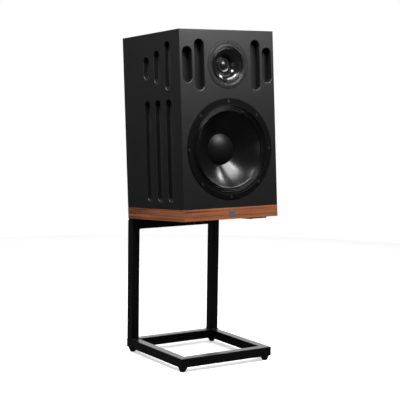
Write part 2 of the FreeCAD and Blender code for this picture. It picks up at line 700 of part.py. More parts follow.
def make_arm_bolts():
    """Four domed bolts that come up through the arms into the plinth."""
    body = new_body("arm_bolts")
    for radius, length, start in (("5.5", "2.2", "-arm_thick - 2.2"), ("4", "1.2", "-arm_thick - 3.4"),
                                  ("3", "20 + arm_thick", "-arm_thick")):
        sketch = new_sketch(body, "XY_Plane", start)
        for x in ("-arm_out", "arm_out"):
            for y in ("arm_bolt_front", "arm_bolt_rear"):
                circle(sketch, x, y, radius)
        pad(body, sketch, length)
    on_cabinet(body)


def make_foot(name, x_sign, y):
    body = new_body(f"foot_{name}")
    revolve(body, [("0", "0"), ("foot_tip", "0"), ("foot_top", "foot_tall - 3"), ("foot_top", "foot_tall"),
                   ("0", "foot_tall")])
    on_floor(body, f"{x_sign} * (base_w - tube) / 2", y)


def make_stand():
    make_base_tube("front", True, -1)
    make_base_tube("rear", True, 1)
    for name, sign in (("left", -1), ("right", 1)):
        make_base_tube(name, False, sign)
        make_upright(name, sign)
        make_arm(name, sign)
        make_foot(f"front_{name}", sign, "base_front + tube / 2")
        make_foot(f"rear_{name}", sign, "base_rear - tube / 2")
    make_crossbar()
    make_arm_seats()
    make_arm_bolts()


def make_cabinet():
    make_front_baffle()
    for name, sign in (("left", -1), ("right", 1)):
        make_side_panel(name, sign)
    make_rear_panel()
    make_flat_panels()
    make_plinth()
    make_badge()


def write_parts():
    """Checks the whole document, then writes each piece to its own file."""
    doc.recompute()
    for item in doc.Objects:
        if "Invalid" in item.State or "Error" in item.State:
            raise RuntimeError(f"{item.Label} failed: {item.State}")
    for piece in PIECES:
        if piece.Shape.isNull() or not piece.Shape.isValid():
            raise RuntimeError(f"{piece.Label} has no valid shape")
    os.makedirs("parts", exist_ok=True)
    for piece in PIECES:
        piece.Shape.exportStep(f"parts/{piece.Label}.step")


make_cabinet()
make_woofer()
make_midrange()
make_tweeter()
make_crossover()
make_terminal_cup()
make_post("red", -1)
make_post("black", 1)
make_stand()
write_parts()
print(f"{len(PIECES)} pieces written")
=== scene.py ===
import json
import math

import bmesh
import bpy
from mathutils import Matrix, Vector
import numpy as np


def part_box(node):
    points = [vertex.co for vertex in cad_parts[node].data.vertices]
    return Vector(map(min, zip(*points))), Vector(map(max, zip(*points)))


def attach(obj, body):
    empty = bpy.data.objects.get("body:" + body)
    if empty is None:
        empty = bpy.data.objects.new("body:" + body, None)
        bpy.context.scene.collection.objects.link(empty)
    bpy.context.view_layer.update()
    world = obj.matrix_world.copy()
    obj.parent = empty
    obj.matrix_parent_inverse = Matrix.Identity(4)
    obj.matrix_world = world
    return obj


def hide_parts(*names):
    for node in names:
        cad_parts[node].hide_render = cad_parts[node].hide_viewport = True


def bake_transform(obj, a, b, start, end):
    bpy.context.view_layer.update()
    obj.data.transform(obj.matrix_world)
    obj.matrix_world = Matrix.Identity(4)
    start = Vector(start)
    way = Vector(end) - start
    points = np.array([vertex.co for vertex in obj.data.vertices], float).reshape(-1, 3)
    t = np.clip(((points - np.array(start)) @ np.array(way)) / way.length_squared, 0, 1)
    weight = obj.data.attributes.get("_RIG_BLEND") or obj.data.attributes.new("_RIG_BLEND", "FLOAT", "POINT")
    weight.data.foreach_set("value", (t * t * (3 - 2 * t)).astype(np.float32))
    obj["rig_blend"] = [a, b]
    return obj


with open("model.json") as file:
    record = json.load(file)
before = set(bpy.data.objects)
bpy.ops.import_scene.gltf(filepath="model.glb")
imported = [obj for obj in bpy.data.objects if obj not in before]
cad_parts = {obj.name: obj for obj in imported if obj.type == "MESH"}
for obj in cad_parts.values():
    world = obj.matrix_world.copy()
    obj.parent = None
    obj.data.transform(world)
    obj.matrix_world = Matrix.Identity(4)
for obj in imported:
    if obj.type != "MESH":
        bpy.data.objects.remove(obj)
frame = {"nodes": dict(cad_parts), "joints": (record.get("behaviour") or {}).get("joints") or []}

bl_info = {
    "name": "Leaning loudspeaker on a stand",
    "version": (1, 0, 0),
    "blender": (4, 5, 0),
    "location": "3D View > Sidebar > Speaker",
    "description": "Builds the finished pieces and materials of a vented loudspeaker around its design frame",
    "category": "Object",
}

MM = 0.001
HERE = Matrix.Identity(4)
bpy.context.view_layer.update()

# ------------------------------------------------------------------ places read from the frame


def joint_axis(name):
    """The direction of a joint of the design, as a vector."""
    return Vector(next(j["axis"] for j in frame["joints"] if j["name"] == name))


FACING = joint_axis("woofer_travel")
LEAN = math.atan2(FACING.z, -FACING.y)
PLINTH_LOW, PLINTH_HIGH = (Vector(c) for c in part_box("walnut_plinth"))
COS, SIN = math.cos(LEAN), math.sin(LEAN)


def leaning_size(low, high):
    """(depth, height) of a leaning block from the two corners of its upright box."""
    reach, rise = high.y - low.y, high.z - low.z
    spread = COS * COS - SIN * SIN
    return (reach * COS - rise * SIN) / spread, (rise * COS - reach * SIN) / spread


DEPTH, PLINTH = leaning_size(PLINTH_LOW, PLINTH_HIGH)
WIDTH = PLINTH_HIGH.x - PLINTH_LOW.x
HEIGHT = (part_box("front_baffle")[1][2] - PLINTH_LOW.z - DEPTH * SIN) / COS
# the plinth's lower front edge is the cabinet's own origin: x across, y back, z up its face
CABINET = Matrix.Translation((0, PLINTH_LOW.y, PLINTH_LOW.z + DEPTH * SIN)) @ Matrix.Rotation(-LEAN, 4, "X")


def up_the_face(node):
    """How far up the cabinet's face the middle of a driver piece lies."""
    low, high = (CABINET.inverted() @ Vector(c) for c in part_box(node))
    return (low.z + high.z) / 2


def axis_at(up):
    """The place of a driver: its own Z points out of the cabinet's face."""
    return CABINET @ Matrix.Translation((0, 0, up)) @ Matrix.Rotation(math.radians(90), 4, "X")


def rear_at(x, y, up):
    """The place of a terminal piece: its own Z points out of the cabinet's back."""
    return CABINET @ Matrix.Translation((x, y, up)) @ Matrix.Rotation(math.radians(-90), 4, "X")


# ------------------------------------------------------------------ settings a user would change

def length(name, text, default):
    return bpy.props.FloatProperty(name=name, description=text, default=default, unit="LENGTH", precision=5)


def angle(name, text, degrees):
    return bpy.props.FloatProperty(
        name=name, description=text, default=math.radians(degrees), unit="ROTATION", precision=5)


def count(name, text, default):
    return bpy.props.IntProperty(name=name, description=text, default=default, min=1)


def colour(name, text, default):
    return bpy.props.FloatVectorProperty(name=name, description=text, default=default, subtype="COLOR")


class CabinetSettings(bpy.types.PropertyGroup):
    wall: length("Side wall", "Thickness of the sides", 12 * MM)
    front_wall: length("Front wall", "Thickness of the baffle", 20 * MM)
    end_wall: length("End wall", "Thickness of the top, bottom and rear panels", 15 * MM)
    edge: length("Edge", "Radius of the cabinet's outer edges", 0.9 * MM)
    slot_width: length("Slot width", "Width of every vent slot", 29 * MM)
    slot_edge: length("Slot edge", "Rounding at the mouth of a slot", 2.2 * MM)
    slot_up: length("Slot height", "Middle of the upper slots above the cabinet's foot", 409 * MM)
    long_slot_up: length("Long slot height", "Middle of the long side slots", 185.5 * MM)
    first_slot: length("First slot", "Front side slot's distance behind the face", 62 * MM)
    slot_step: length("Slot step", "Distance between side slots", 55 * MM)
    paint: colour("Paint", "Satin black of the cabinet", (0.0075, 0.0075, 0.0078))
    walnut: colour("Walnut", "Lighter tone of the plinth's grain", (0.48, 0.165, 0.070))
    walnut_dark: colour("Dark walnut", "Darker tone of the plinth's grain", (0.100, 0.032, 0.015))


class DriverSettings(bpy.types.PropertyGroup):
    rim: length("Woofer rim", "Outer radius of the woofer's flange", 134.5 * MM)
    lip: length("Woofer lip", "Inner radius of the woofer's flange", 116 * MM)
    bolts: count("Woofer bolts", "Bolts round the woofer", 8)
    bolt_circle: length("Bolt circle", "Radius of the woofer's bolt circle", 127 * MM)
    rolls: count("Rolls", "Rolls of the woofer's surround", 3)
    mid_rim: length("Upper rim", "Outer radius of the upper unit's flange", 63 * MM)
    mid_screws: count("Upper screws", "Screws round the upper unit", 6)
    mid_circle: length("Upper screw circle", "Radius of the upper screw circle", 58 * MM)
    cone_black: colour("Cone", "Coated cones and dust cap", (0.0040, 0.0040, 0.0044))


class StandSettings(bpy.types.PropertyGroup):
    corner: length("Tube corner", "Rounding of the square tube's corners", 2.2 * MM)
    arm: length("Arm", "Thickness of the flat arms", 4 * MM)
    bead: length("Weld bead", "Radius of a weld bead", 1.5 * MM)
    bead_step: length("Bead step", "Distance between ripples of a weld", 1.6 * MM)
    coat: colour("Powder coat", "Satin black of the stand", (0.0035, 0.0035, 0.0037))


class StageSettings(bpy.types.PropertyGroup):
    heading: angle("Heading", "Camera's bearing to the left of the front", 33.005)
    pitch: angle("Pitch", "Camera's tilt below level", 6.4505)
    roll: angle("Roll", "Camera's turn about its own axis", 0.788)
    lens: bpy.props.FloatProperty(name="Lens", description="Focal length in millimetres", default=109.96)
    eye: bpy.props.FloatVectorProperty(name="Eye", description="Camera position", unit="LENGTH",
                                       default=(-1.83116, -2.82768, 0.81918))


# ------------------------------------------------------------------ meshes

def new_object(name, mesh):
    piece = bpy.data.objects.new(name, mesh)
    bpy.context.scene.collection.objects.link(piece)
    return piece


def mesh_of(bm, name):
    mesh = bpy.data.meshes.new(name)
    bm.to_mesh(mesh)
    bm.free()
    return mesh


def smooth(mesh, degrees=30):
    mesh.shade_smooth()
    mesh.set_sharp_from_angle(angle=math.radians(degrees))


def settle(piece):
    """Turns the piece and its modifiers into one plain mesh."""
    depsgraph = bpy.context.evaluated_depsgraph_get()
    mesh = bpy.data.meshes.new_from_object(piece.evaluated_get(depsgraph))
    piece.modifiers.clear()
    piece.data = mesh
    return piece


def lathe(bm, profile, steps=128, wave=None):
    """A solid of revolution about Z from a closed outline of (radius, height) points.

    wave(angle, radius, height) may change a point's radius, for flutes and the like.
    """
    rings = []
    for radius, height in profile:
        if radius < 1e-7:
            rings.append([bm.verts.new((0, 0, height))])
            continue
        ring = []
        for i in range(steps):
            turn = 2 * math.pi * i / steps
            reach = wave(turn, radius, height) if wave else radius
            ring.append(bm.verts.new((reach * math.cos(turn), reach * math.sin(turn), height)))
        rings.append(ring)
    for a, b in zip(rings, rings[1:] + rings[:1]):
        if len(a) == 1 and len(b) == 1:
            continue
        for i in range(steps):
            corners = [a[i % len(a)], a[(i + 1) % len(a)], b[(i + 1) % len(b)], b[i % len(b)]]
            corners = list(dict.fromkeys(corners))
            bm.faces.new(corners)
    bmesh.ops.recalc_face_normals(bm, faces=bm.faces)


def arc(centre, radius, start, end, steps):
    """Points of a profile's arc, with angles in degrees."""
    angles = [math.radians(start + (end - start) * i / steps) for i in range(steps + 1)]
    return [(centre[0] + radius * math.cos(a), centre[1] + radius * math.sin(a)) for a in angles]


def flare(start, bend, end, steps):
    """Points of a curve from start to end, drawn towards bend."""
    start, bend, end = Vector(start), Vector(bend), Vector(end)
    return [tuple(start * (1 - t) ** 2 + bend * 2 * t * (1 - t) + end * t * t)
            for t in (i / steps for i in range(steps + 1))]


def dome(base, radius, rise, thickness, steps):
    """A dome's outline: its outside from the edge to the axis, then its inside back to the edge."""
    sphere = (radius ** 2 + rise ** 2) / (2 * rise)
    edge = math.degrees(math.asin(radius / sphere))
    middle = (0, base + rise - sphere)
    outside = arc(middle, sphere, 90 - edge, 90, steps)
    inside = arc(middle, sphere - thickness, 90, 90 - edge, steps)
    return outside[:-1] + [(0.0, outside[-1][1]), (0.0, inside[0][1])] + inside[1:]


def rounded(points, radius, steps=3):
    """The outline with each corner rounded, by its own radius where radius is a list."""
    out = []
    count = len(points)
    for i, here in enumerate(points):
        size = radius[i] if isinstance(radius, (list, tuple)) else radius
        here = Vector(here)
        before, after = Vector(points[i - 1]) - here, Vector(points[(i + 1) % count]) - here
        half = before.angle(after) / 2
        if size <= 0 or here.x < 1e-7 or half > math.radians(88):
            out.append(tuple(here))
            continue
        reach = min(size / math.tan(half), before.length * 0.49, after.length * 0.49)
        start, end = here + before.normalized() * reach, here + after.normalized() * reach
        out += flare(start, here, end, steps)
    return out


def turned(name, profile, place, steps=128, wave=None, sharp=30):
    """A turned piece in its place. The profile is in millimetres."""
    bm = bmesh.new()
    lathe(bm, [(r * MM, z * MM) for r, z in profile], steps, wave)
    mesh = mesh_of(bm, name)
    mesh.transform(place)
    smooth(mesh, sharp)
    return new_object(name, mesh)


def block(bm, low, high):
    """A box between two corners."""
    corners = [bm.verts.new((x, y, z)) for x in (low[0], high[0]) for y in (low[1], high[1])
               for z in (low[2], high[2])]
    for face in ((0, 1, 3, 2), (4, 6, 7, 5), (0, 4, 5, 1), (2, 3, 7, 6), (0, 2, 6, 4), (1, 5, 7, 3)):
        bm.faces.new([corners[i] for i in face])
    bmesh.ops.recalc_face_normals(bm, faces=bm.faces)
    return corners


def rounded_block(name, low, high, radius, steps=3):
    """A box with rounded edges, as an object."""
    bm = bmesh.new()
    block(bm, low, high)
    bmesh.ops.bevel(bm, geom=list(bm.edges), offset=radius, segments=steps, profile=0.5, affect="EDGES")
    return new_object(name, mesh_of(bm, name))


def prism(bm, rings):
    """A closed solid through rings of points, each ring with the same count."""
    loops = [[bm.verts.new(p) for p in ring] for ring in rings]
    count = len(loops[0])
    for a, b in zip(loops, loops[1:]):
        for i in range(count):
            bm.faces.new([a[i], a[(i + 1) % count], b[(i + 1) % count], b[i]])
    bm.faces.new(loops[0])
    bm.faces.new(loops[-1])


def obround(width, height, spread, steps=12):
    """An upright slot's outline about the origin, grown by spread."""
    radius, rise = width / 2 + spread, (height - width) / 2
    upper = [(radius * math.cos(math.pi * i / steps), rise + radius * math.sin(math.pi * i / steps))
             for i in range(steps + 1)]
    return upper + [(-x, -y) for x, y in upper]


def slot_cutter(bm, to_cabinet, width, height, edge, through):
    """The tool for one slot with a rounded mouth. to_cabinet maps (across, up, depth) to a point."""
    rings = [[to_cabinet(u, v, -1 * MM) for u, v in obround(width, height, edge)]]
    for i in range(7):
        a = math.radians(15 * i)
        ring = obround(width, height, edge * (1 - math.sin(a)))
        rings.append([to_cabinet(u, v, edge * (1 - math.cos(a))) for u, v in ring])
    rings.append([to_cabinet(u, v, through) for u, v in obround(width, height, 0)])
    prism(bm, rings)


def drill(tools, count, circle, profile, steps):
    """Adds one turned hole, in millimetres, at each place of a circle, the first one straight up."""
    for i in range(count):
        hole = bmesh.new()
        lathe(hole, [(r * MM, z * MM) for r, z in profile], steps)
        mesh = mesh_of(hole, "hole")
        mesh.transform(Matrix.Rotation(2 * math.pi * i / count, 4, "Z") @ Matrix.Translation((0, circle, 0)))
        tools.from_mesh(mesh)


def lone_mesh(piece):
    """The mesh of a piece that serves only as a pattern for copies."""
    mesh = piece.data
    bpy.data.objects.remove(piece)
    return mesh


def cut(piece, tool_bm):
    """Takes the tool away from the piece."""
    bmesh.ops.recalc_face_normals(tool_bm, faces=tool_bm.faces)
    tool = new_object("cutting_tool", mesh_of(tool_bm, "cutting_tool"))
    boolean = piece.modifiers.new("cut", "BOOLEAN")
    boolean.operation = "DIFFERENCE"
    boolean.solver = "EXACT"
    boolean.object = tool
    settle(piece)
    bpy.data.objects.remove(tool)


# ------------------------------------------------------------------ node trees

def link(tree, source, target):
    tree.links.new(source, target)


def add(tree, kind, inputs=None, **settings):
    """A new node with its settings, and with each input set to a value or linked to a socket."""
    node = tree.nodes.new(kind)
    for name, value in settings.items():
        setattr(node, name, value)
    for name, value in (inputs or {}).items():
        if isinstance(value, bpy.types.NodeSocket):
            link(tree, value, node.inputs[name])
        else:
            node.inputs[name].default_value = value
    return node


def first(tree, kind, inputs=None, **settings):
    """The first output of a new node."""
    return add(tree, kind, inputs, **settings).outputs[0]


def calc(tree, operation, *values):
    return first(tree, "ShaderNodeMath", dict(enumerate(values)), operation=operation)


def times(tree, start, *factors):
    for factor in factors:
        start = calc(tree, "MULTIPLY", start, factor)
    return start


def new_group(name, kind, inputs, outputs):
    """A node group with named sockets, as (group, the sockets of its inlet, its outlet)."""
    group = bpy.data.node_groups.new(name, kind)
    for direction, sockets in (("INPUT", inputs), ("OUTPUT", outputs)):
        for label, data, *default in sockets:
            socket = group.interface.new_socket(label, in_out=direction, socket_type="NodeSocket" + data)
            if default:
                socket.default_value = default[0]
    return group, group.nodes.new("NodeGroupInput").outputs, group.nodes.new("NodeGroupOutput")


# ------------------------------------------------------------------ geometry node trees

def new_tree(name, inputs):
    shape = ("Geometry", "Geometry")
    return new_group(name, "GeometryNodeTree", [shape, *inputs, ("Material", "Material")], [shape])


def end_tree(tree, inlet, outlet, geometry):
    """Realize Instances, then Set Material, as the last two nodes."""
    real = first(tree, "GeometryNodeRealizeInstances", {"Geometry": geometry})
    painted = first(tree, "GeometryNodeSetMaterial", {"Geometry": real, "Material": inlet["Material"]})
    link(tree, painted, outlet.inputs["Geometry"])
    return tree


def ring_tree():
    """Copies of the piece round a circle, the first one straight up."""
    tree, inlet, outlet = new_tree("ring of copies", [
        ("Count", "Int", 8), ("Circle radius", "Float", 0.1), ("Height", "Float", 0.0)])
    index = first(tree, "GeometryNodeInputIndex")
    turn = times(tree, calc(tree, "DIVIDE", index, inlet["Count"]), 2 * math.pi)
    place = first(tree, "ShaderNodeCombineXYZ", {
        0: times(tree, calc(tree, "SINE", turn), inlet["Circle radius"]),
        1: times(tree, calc(tree, "COSINE", turn), inlet["Circle radius"]), 2: inlet["Height"]})
    points = first(tree, "GeometryNodePoints", {"Count": inlet["Count"], "Position": place})
    spin = first(tree, "ShaderNodeCombineXYZ", {2: times(tree, turn, -1.0)})
    copies = first(tree, "GeometryNodeInstanceOnPoints", {
        "Points": points, "Instance": inlet["Geometry"], "Rotation": spin})
    return end_tree(tree, inlet, outlet, copies)


def grid_tree():
    """Copies of the piece on a flat grid, two by two unless the counts say more."""
    tree, inlet, outlet = new_tree("grid of copies", [
        ("Columns", "Int", 2), ("Rows", "Int", 2), ("Width", "Float", 0.1), ("Length", "Float", 0.1)])
    grid = first(tree, "GeometryNodeMeshGrid", {
        "Size X": inlet["Width"], "Size Y": inlet["Length"],
        "Vertices X": inlet["Columns"], "Vertices Y": inlet["Rows"]})
    copies = first(tree, "GeometryNodeInstanceOnPoints", {"Points": grid, "Instance": inlet["Geometry"]})
    return end_tree(tree, inlet, outlet, copies)


def bead_tree():
    """Overlapping ripples of weld along the piece's own edges."""
    tree, inlet, outlet = new_tree("weld bead", [
        ("Bead radius", "Float", 0.0015), ("Step", "Float", 0.0016), ("Seed", "Int", 3)])
    path = first(tree, "GeometryNodeMeshToCurve", {0: inlet["Geometry"]})
    even = first(tree, "GeometryNodeResampleCurve", {"Curve": path, "Length": inlet["Step"]}, mode="LENGTH")
    ripple = add(tree, "GeometryNodeMeshIcoSphere", {"Radius": inlet["Bead radius"], "Subdivisions": 2})
    least, most = 2, 3
    size = add(tree, "FunctionNodeRandomValue", {least: 0.85, most: 1.15, "Seed": inlet["Seed"]},
               data_type="FLOAT").outputs[1]
    copies = first(tree, "GeometryNodeInstanceOnPoints", {
        "Points": even, "Instance": ripple.outputs["Mesh"], "Scale": size})
    return end_tree(tree, inlet, outlet, copies)


def pleat_tree():
    """A flat grid wrapped into a pleated ring: x runs round, y runs from the inner to the outer edge."""
    tree, inlet, outlet = new_tree("pleated ring", [
        ("Inner radius", "Float", 0.1), ("Outer radius", "Float", 0.12), ("Rolls", "Int", 4),
        ("Roll depth", "Float", 0.0016), ("Height", "Float", 0.0), ("Steps round", "Int", 193),
        ("Steps across", "Int", 81)])
    grid = first(tree, "GeometryNodeMeshGrid", {
        "Vertices X": inlet["Steps round"], "Vertices Y": inlet["Steps across"]})
    here = add(tree, "ShaderNodeSeparateXYZ", {0: first(tree, "GeometryNodeInputPosition")}).outputs
    turn = times(tree, here[0], 2 * math.pi)
    share = calc(tree, "ADD", here[1], 0.5)
    span = calc(tree, "SUBTRACT", inlet["Outer radius"], inlet["Inner radius"])
    radius = calc(tree, "MULTIPLY_ADD", share, span, inlet["Inner radius"])
    # each roll is a rounded ridge with a sharp valley beside it
    ridge = calc(tree, "ABSOLUTE", calc(tree, "SINE", times(tree, share, inlet["Rolls"], math.pi)))
    rise = times(tree, calc(tree, "MULTIPLY_ADD", ridge, 2.0, -1.0), inlet["Roll depth"])
    # the rolls die away over the last part at each edge, which is glued flat
    edge = times(tree, share, calc(tree, "SUBTRACT", 1.0, share), 14.0)
    fade = calc(tree, "MINIMUM", edge, 1.0)
    place = first(tree, "ShaderNodeCombineXYZ", {
        0: times(tree, calc(tree, "COSINE", turn), radius), 1: times(tree, calc(tree, "SINE", turn), radius),
        2: calc(tree, "MULTIPLY_ADD", rise, fade, inlet["Height"])})
    wrapped = first(tree, "GeometryNodeSetPosition", {"Geometry": grid, "Position": place})
    closed = first(tree, "GeometryNodeMergeByDistance", {"Geometry": wrapped, "Distance": 1e-5})
    return end_tree(tree, inlet, outlet, closed)


def grown(name, base, make_tree, values):
    """A piece made by a node tree from a base mesh, as a plain mesh."""
    tree = made_once(make_tree.__name__, make_tree)
    piece = new_object(name, base)
    modifier = piece.modifiers.new(tree.name, "NODES")
    modifier.node_group = tree
    for item in tree.interface.items_tree:
        if item.in_out == "INPUT" and item.name in values:
            modifier[item.identifier] = values[item.name]
    return settle(piece)


# ------------------------------------------------------------------ shader groups

def noise(tree, vector, scale, detail=2.0, rough=0.5):
    return add(tree, "ShaderNodeTexNoise", {
        "Vector": vector, "Scale": scale, "Detail": detail, "Roughness": rough}).outputs["Fac"]


def remap(tree, source, low, high, to_low, to_high):
    return add(tree, "ShaderNodeMapRange", {
        "Value": source, "From Min": low, "From Max": high, "To Min": to_low, "To Max": to_high},
        interpolation_type="SMOOTHSTEP").outputs["Result"]


def blend_colours(tree, factor, start, end):
    mix = add(tree, "ShaderNodeMix", {"Factor": factor, "A": start, "B": end}, data_type="RGBA")
    return mix.outputs["Result"]


def shader_group(name, inputs, outputs):
    return new_group(name, "ShaderNodeTree", [("Vector", "Vector"), *inputs], outputs)


def put_out(group, outlet, **values):
    for name, value in values.items():
        link(group, value, outlet.inputs[name])
    return group


def surface_group():
    """Fine paint or moulding grain, slow tone drift, and a little dust and handling wear."""
    group, inlet, outlet = shader_group("surface grain", [
        ("Grain scale", "Float", 900.0), ("Drift scale", "Float", 9.0), ("Wear", "Float", 0.3),
        ("Base", "Color", (0.02, 0.02, 0.02, 1)), ("Worn", "Color", (0.05, 0.05, 0.05, 1)),
        ("Roughness", "Float", 0.45), ("Roughness spread", "Float", 0.06)],
        [("Colour", "Color"), ("Roughness", "Float"), ("Height", "Float")])
    vector = inlet["Vector"]
    grain = noise(group, vector, inlet["Grain scale"], 3.0, 0.6)
    drift = noise(group, vector, inlet["Drift scale"], 4.0, 0.55)
    scuff = noise(group, vector, times(group, inlet["Drift scale"], 14.0), 6.0, 0.75)
    marks = times(group, remap(group, scuff, 0.60, 0.78, 0.0, 1.0), remap(group, drift, 0.42, 0.62, 0.0, 1.0))
    drifted = times(group, calc(group, "MULTIPLY_ADD", drift, 0.18, -0.02), 0.6)
    mask = calc(group, "ADD", times(group, marks, inlet["Wear"]), drifted)
    spread = times(group, calc(group, "SUBTRACT", drift, 0.5), inlet["Roughness spread"], 2.0)
    rough = calc(group, "ADD", calc(group, "ADD", inlet["Roughness"], spread), times(group, marks, 0.05))
    return put_out(group, outlet, Colour=blend_colours(group, mask, inlet["Base"], inlet["Worn"]),
                   Roughness=rough, Height=grain)


def wood_group():
    """Straight walnut grain: x of the vector runs along the grain, in metres."""
    group, inlet, outlet = shader_group("walnut grain", [
        ("Light", "Color", (0.3, 0.1, 0.04, 1)), ("Dark", "Color", (0.06, 0.02, 0.01, 1))],
        [("Colour", "Color"), ("Roughness", "Float"), ("Height", "Float")])

    def grain(along, across, *kind):
        stretch = {"Scale": (along, across, across), "Vector": inlet["Vector"]}
        return noise(group, first(group, "ShaderNodeMapping", stretch), 1.0, *kind)

    waver, bands = grain(5.0, 14.0, 2.0), grain(1.6, 150.0, 3.0, 0.6)
    streaks, pores = grain(7.0, 900.0, 4.0, 0.65), grain(60.0, 2600.0, 1.0)
    tone = calc(group, "MULTIPLY_ADD", streaks, 0.55, times(group, bands, 0.75))
    tone = calc(group, "ADD", tone, times(group, calc(group, "SUBTRACT", waver, 0.5), 0.35))
    mask = calc(group, "MAXIMUM", remap(group, tone, 0.50, 0.80, 0.0, 1.0),
                remap(group, pores, 0.60, 0.72, 0.0, 0.75))
    return put_out(group, outlet, Colour=blend_colours(group, mask, inlet["Light"], inlet["Dark"]),
                   Roughness=calc(group, "MULTIPLY_ADD", mask, 0.12, 0.40),
                   Height=calc(group, "SUBTRACT", 1.0, mask))


def weave_group():
    """A plain weave: two crossed sets of threads, with a little unevenness between threads."""
    group, inlet, outlet = shader_group("plain weave", [
        ("Threads per metre", "Float", 900.0), ("Thread", "Color", (0.02, 0.02, 0.02, 1)),
        ("Gap", "Color", (0.004, 0.004, 0.004, 1))], [("Colour", "Color"), ("Height", "Float")])
    across = add(group, "ShaderNodeSeparateXYZ", {0: inlet["Vector"]}).outputs
    pitch = times(group, inlet["Threads per metre"], math.pi)
    waves = [calc(group, "ABSOLUTE", calc(group, "SINE", times(group, along, pitch))) for along in across[:2]]
    uneven = remap(group, noise(group, inlet["Vector"], 160.0, 3.0), 0.3, 0.7, 0.8, 1.0)
    height = times(group, calc(group, "MAXIMUM", *waves), uneven)
    return put_out(group, outlet, Height=height,
                   Colour=blend_colours(group, height, inlet["Gap"], inlet["Thread"]))


# ------------------------------------------------------------------ finishes

def grey(tone):
    return (tone, tone, tone)


# the painted, moulded, plated and rubber finishes: base colour, or the setting that holds it, then
# roughness, spread of the roughness, wear, grains per metre, relief in metres, and what else differs
COATINGS = {
    "satin_black_paint": ("cabinet.paint", 0.44, 0.03, 0.10, 1500, 3e-5),
    "black_powder_coat": ("stand.coat", 0.34, 0.04, 0.15, 2200, 5e-5, dict(specular=0.4)),
    "coated_cone": ("drivers.cone_black", 0.22, 0.03, 0, 700, 3e-5, dict(specular=0.3)),
    "satin_cap": ("drivers.cone_black", 0.44, 0.03, 0, 900, 3e-5, dict(specular=0.27)),
    "cast_black": ((0.0035, 0.0035, 0.0036), 0.46, 0.04, 0.12, 2600, 8e-5, dict(specular=0.06)),
    "doped_cloth": (grey(0.0025), 0.30, 0.04, 0, 1400, 5e-5, dict(specular=0.3)),
    "black_oxide": ((0.04, 0.04, 0.042), 0.30, 0.05, 0.4, 3000, 2e-5, dict(worn=grey(0.15), metallic=0.6)),
    "badge_anodised": ((0.30, 0.37, 0.42), 0.30, 0.05, 0.2, 1800, 2e-5, dict(metallic=0.75)),
    "bare_board": ((0.30, 0.20, 0.12), 0.75, 0.05, 0.3, 600, 1e-4, dict(worn=(0.18, 0.11, 0.06))),
    "foam_gasket": (grey(0.02), 0.95, 0.05, 0.3, 1200, 3e-4),
    "enamelled_copper": ((0.55, 0.20, 0.08), 0.30, 0.05, 0.3, 2500, 4e-5, dict(metallic=0.9)),
    "plated_steel": ((0.42, 0.42, 0.43), 0.34, 0.05, 0.3, 1800, 4e-5, dict(metallic=1)),
    "dark_ferrite": ((0.045, 0.045, 0.047), 0.7, 0.05, 0.3, 900, 1e-4),
    "chamber_plastic": (grey(0.03), 0.6, 0.05, 0.3, 900, 4e-5),
    "satin_flange": ((0.007, 0.007, 0.0072), 0.38, 0.03, 0.05, 1800, 3e-5),
    "gloss_flare": ((0.006, 0.006, 0.0065), 0.15, 0.02, 0, 500, 1e-5, dict(specular=0.35)),
    "tweeter_satin": ((0.02, 0.02, 0.021), 0.24, 0.03, 0, 1500, 1e-5),
    "coated_dome": ((0.008, 0.008, 0.009), 0.28, 0.03, 0, 2600, 3e-5),
    "circuit_board": ((0.02, 0.10, 0.045), 0.4, 0.05, 0.3, 900, 4e-5),
    "capacitor_film": ((0.08, 0.09, 0.30), 0.3, 0.05, 0.3, 900, 4e-5),
    "moulded_black": (grey(0.016), 0.5, 0.05, 0.3, 1600, 1.2e-4),
    "gold_plate": ((0.80, 0.55, 0.22), 0.22, 0.05, 0.3, 2500, 1e-5,
                   dict(worn=(0.60, 0.42, 0.18), metallic=1)),
    "cap_red_gloss": ((0.48, 0.012, 0.012), 0.22, 0.05, 0.15, 1500, 2e-5),
    "cap_black_gloss": (grey(0.012), 0.22, 0.05, 0.15, 1500, 2e-5),
    "dark_zinc": ((0.30, 0.30, 0.31), 0.28, 0.05, 0.4, 2200, 2e-5, dict(metallic=1)),
    "hard_rubber": (grey(0.012), 0.55, 0.05, 0.5, 1400, 1e-4),
}
FRONT_TURN, SIDE_TURN = (math.radians(90), 0.0, 0.0), (0.0, math.radians(90), 0.0)
# each cloth's thread and gap colours, threads per metre and the turn that lays the weave on the cloth
CLOTHS = {
    "side_cloth": (grey(0.0035), grey(0.001), 700.0, SIDE_TURN),
    "front_cloth": (grey(0.0035), grey(0.001), 700.0, FRONT_TURN),
    "varnished_cloth": ((0.42, 0.27, 0.09), (0.15, 0.08, 0.03), 1100.0, (0.0, 0.0, 0.0)),
}
MADE = {}


def made_once(name, make, *values):
    """The material or group of this name, made when it is first asked for."""
    if name not in MADE:
        MADE[name] = make(*values)
    return MADE[name]


def setting(path):
    """A value of the settings, such as cabinet.paint."""
    group, field = path.split(".")
    return getattr(getattr(bpy.context.scene, group), field)


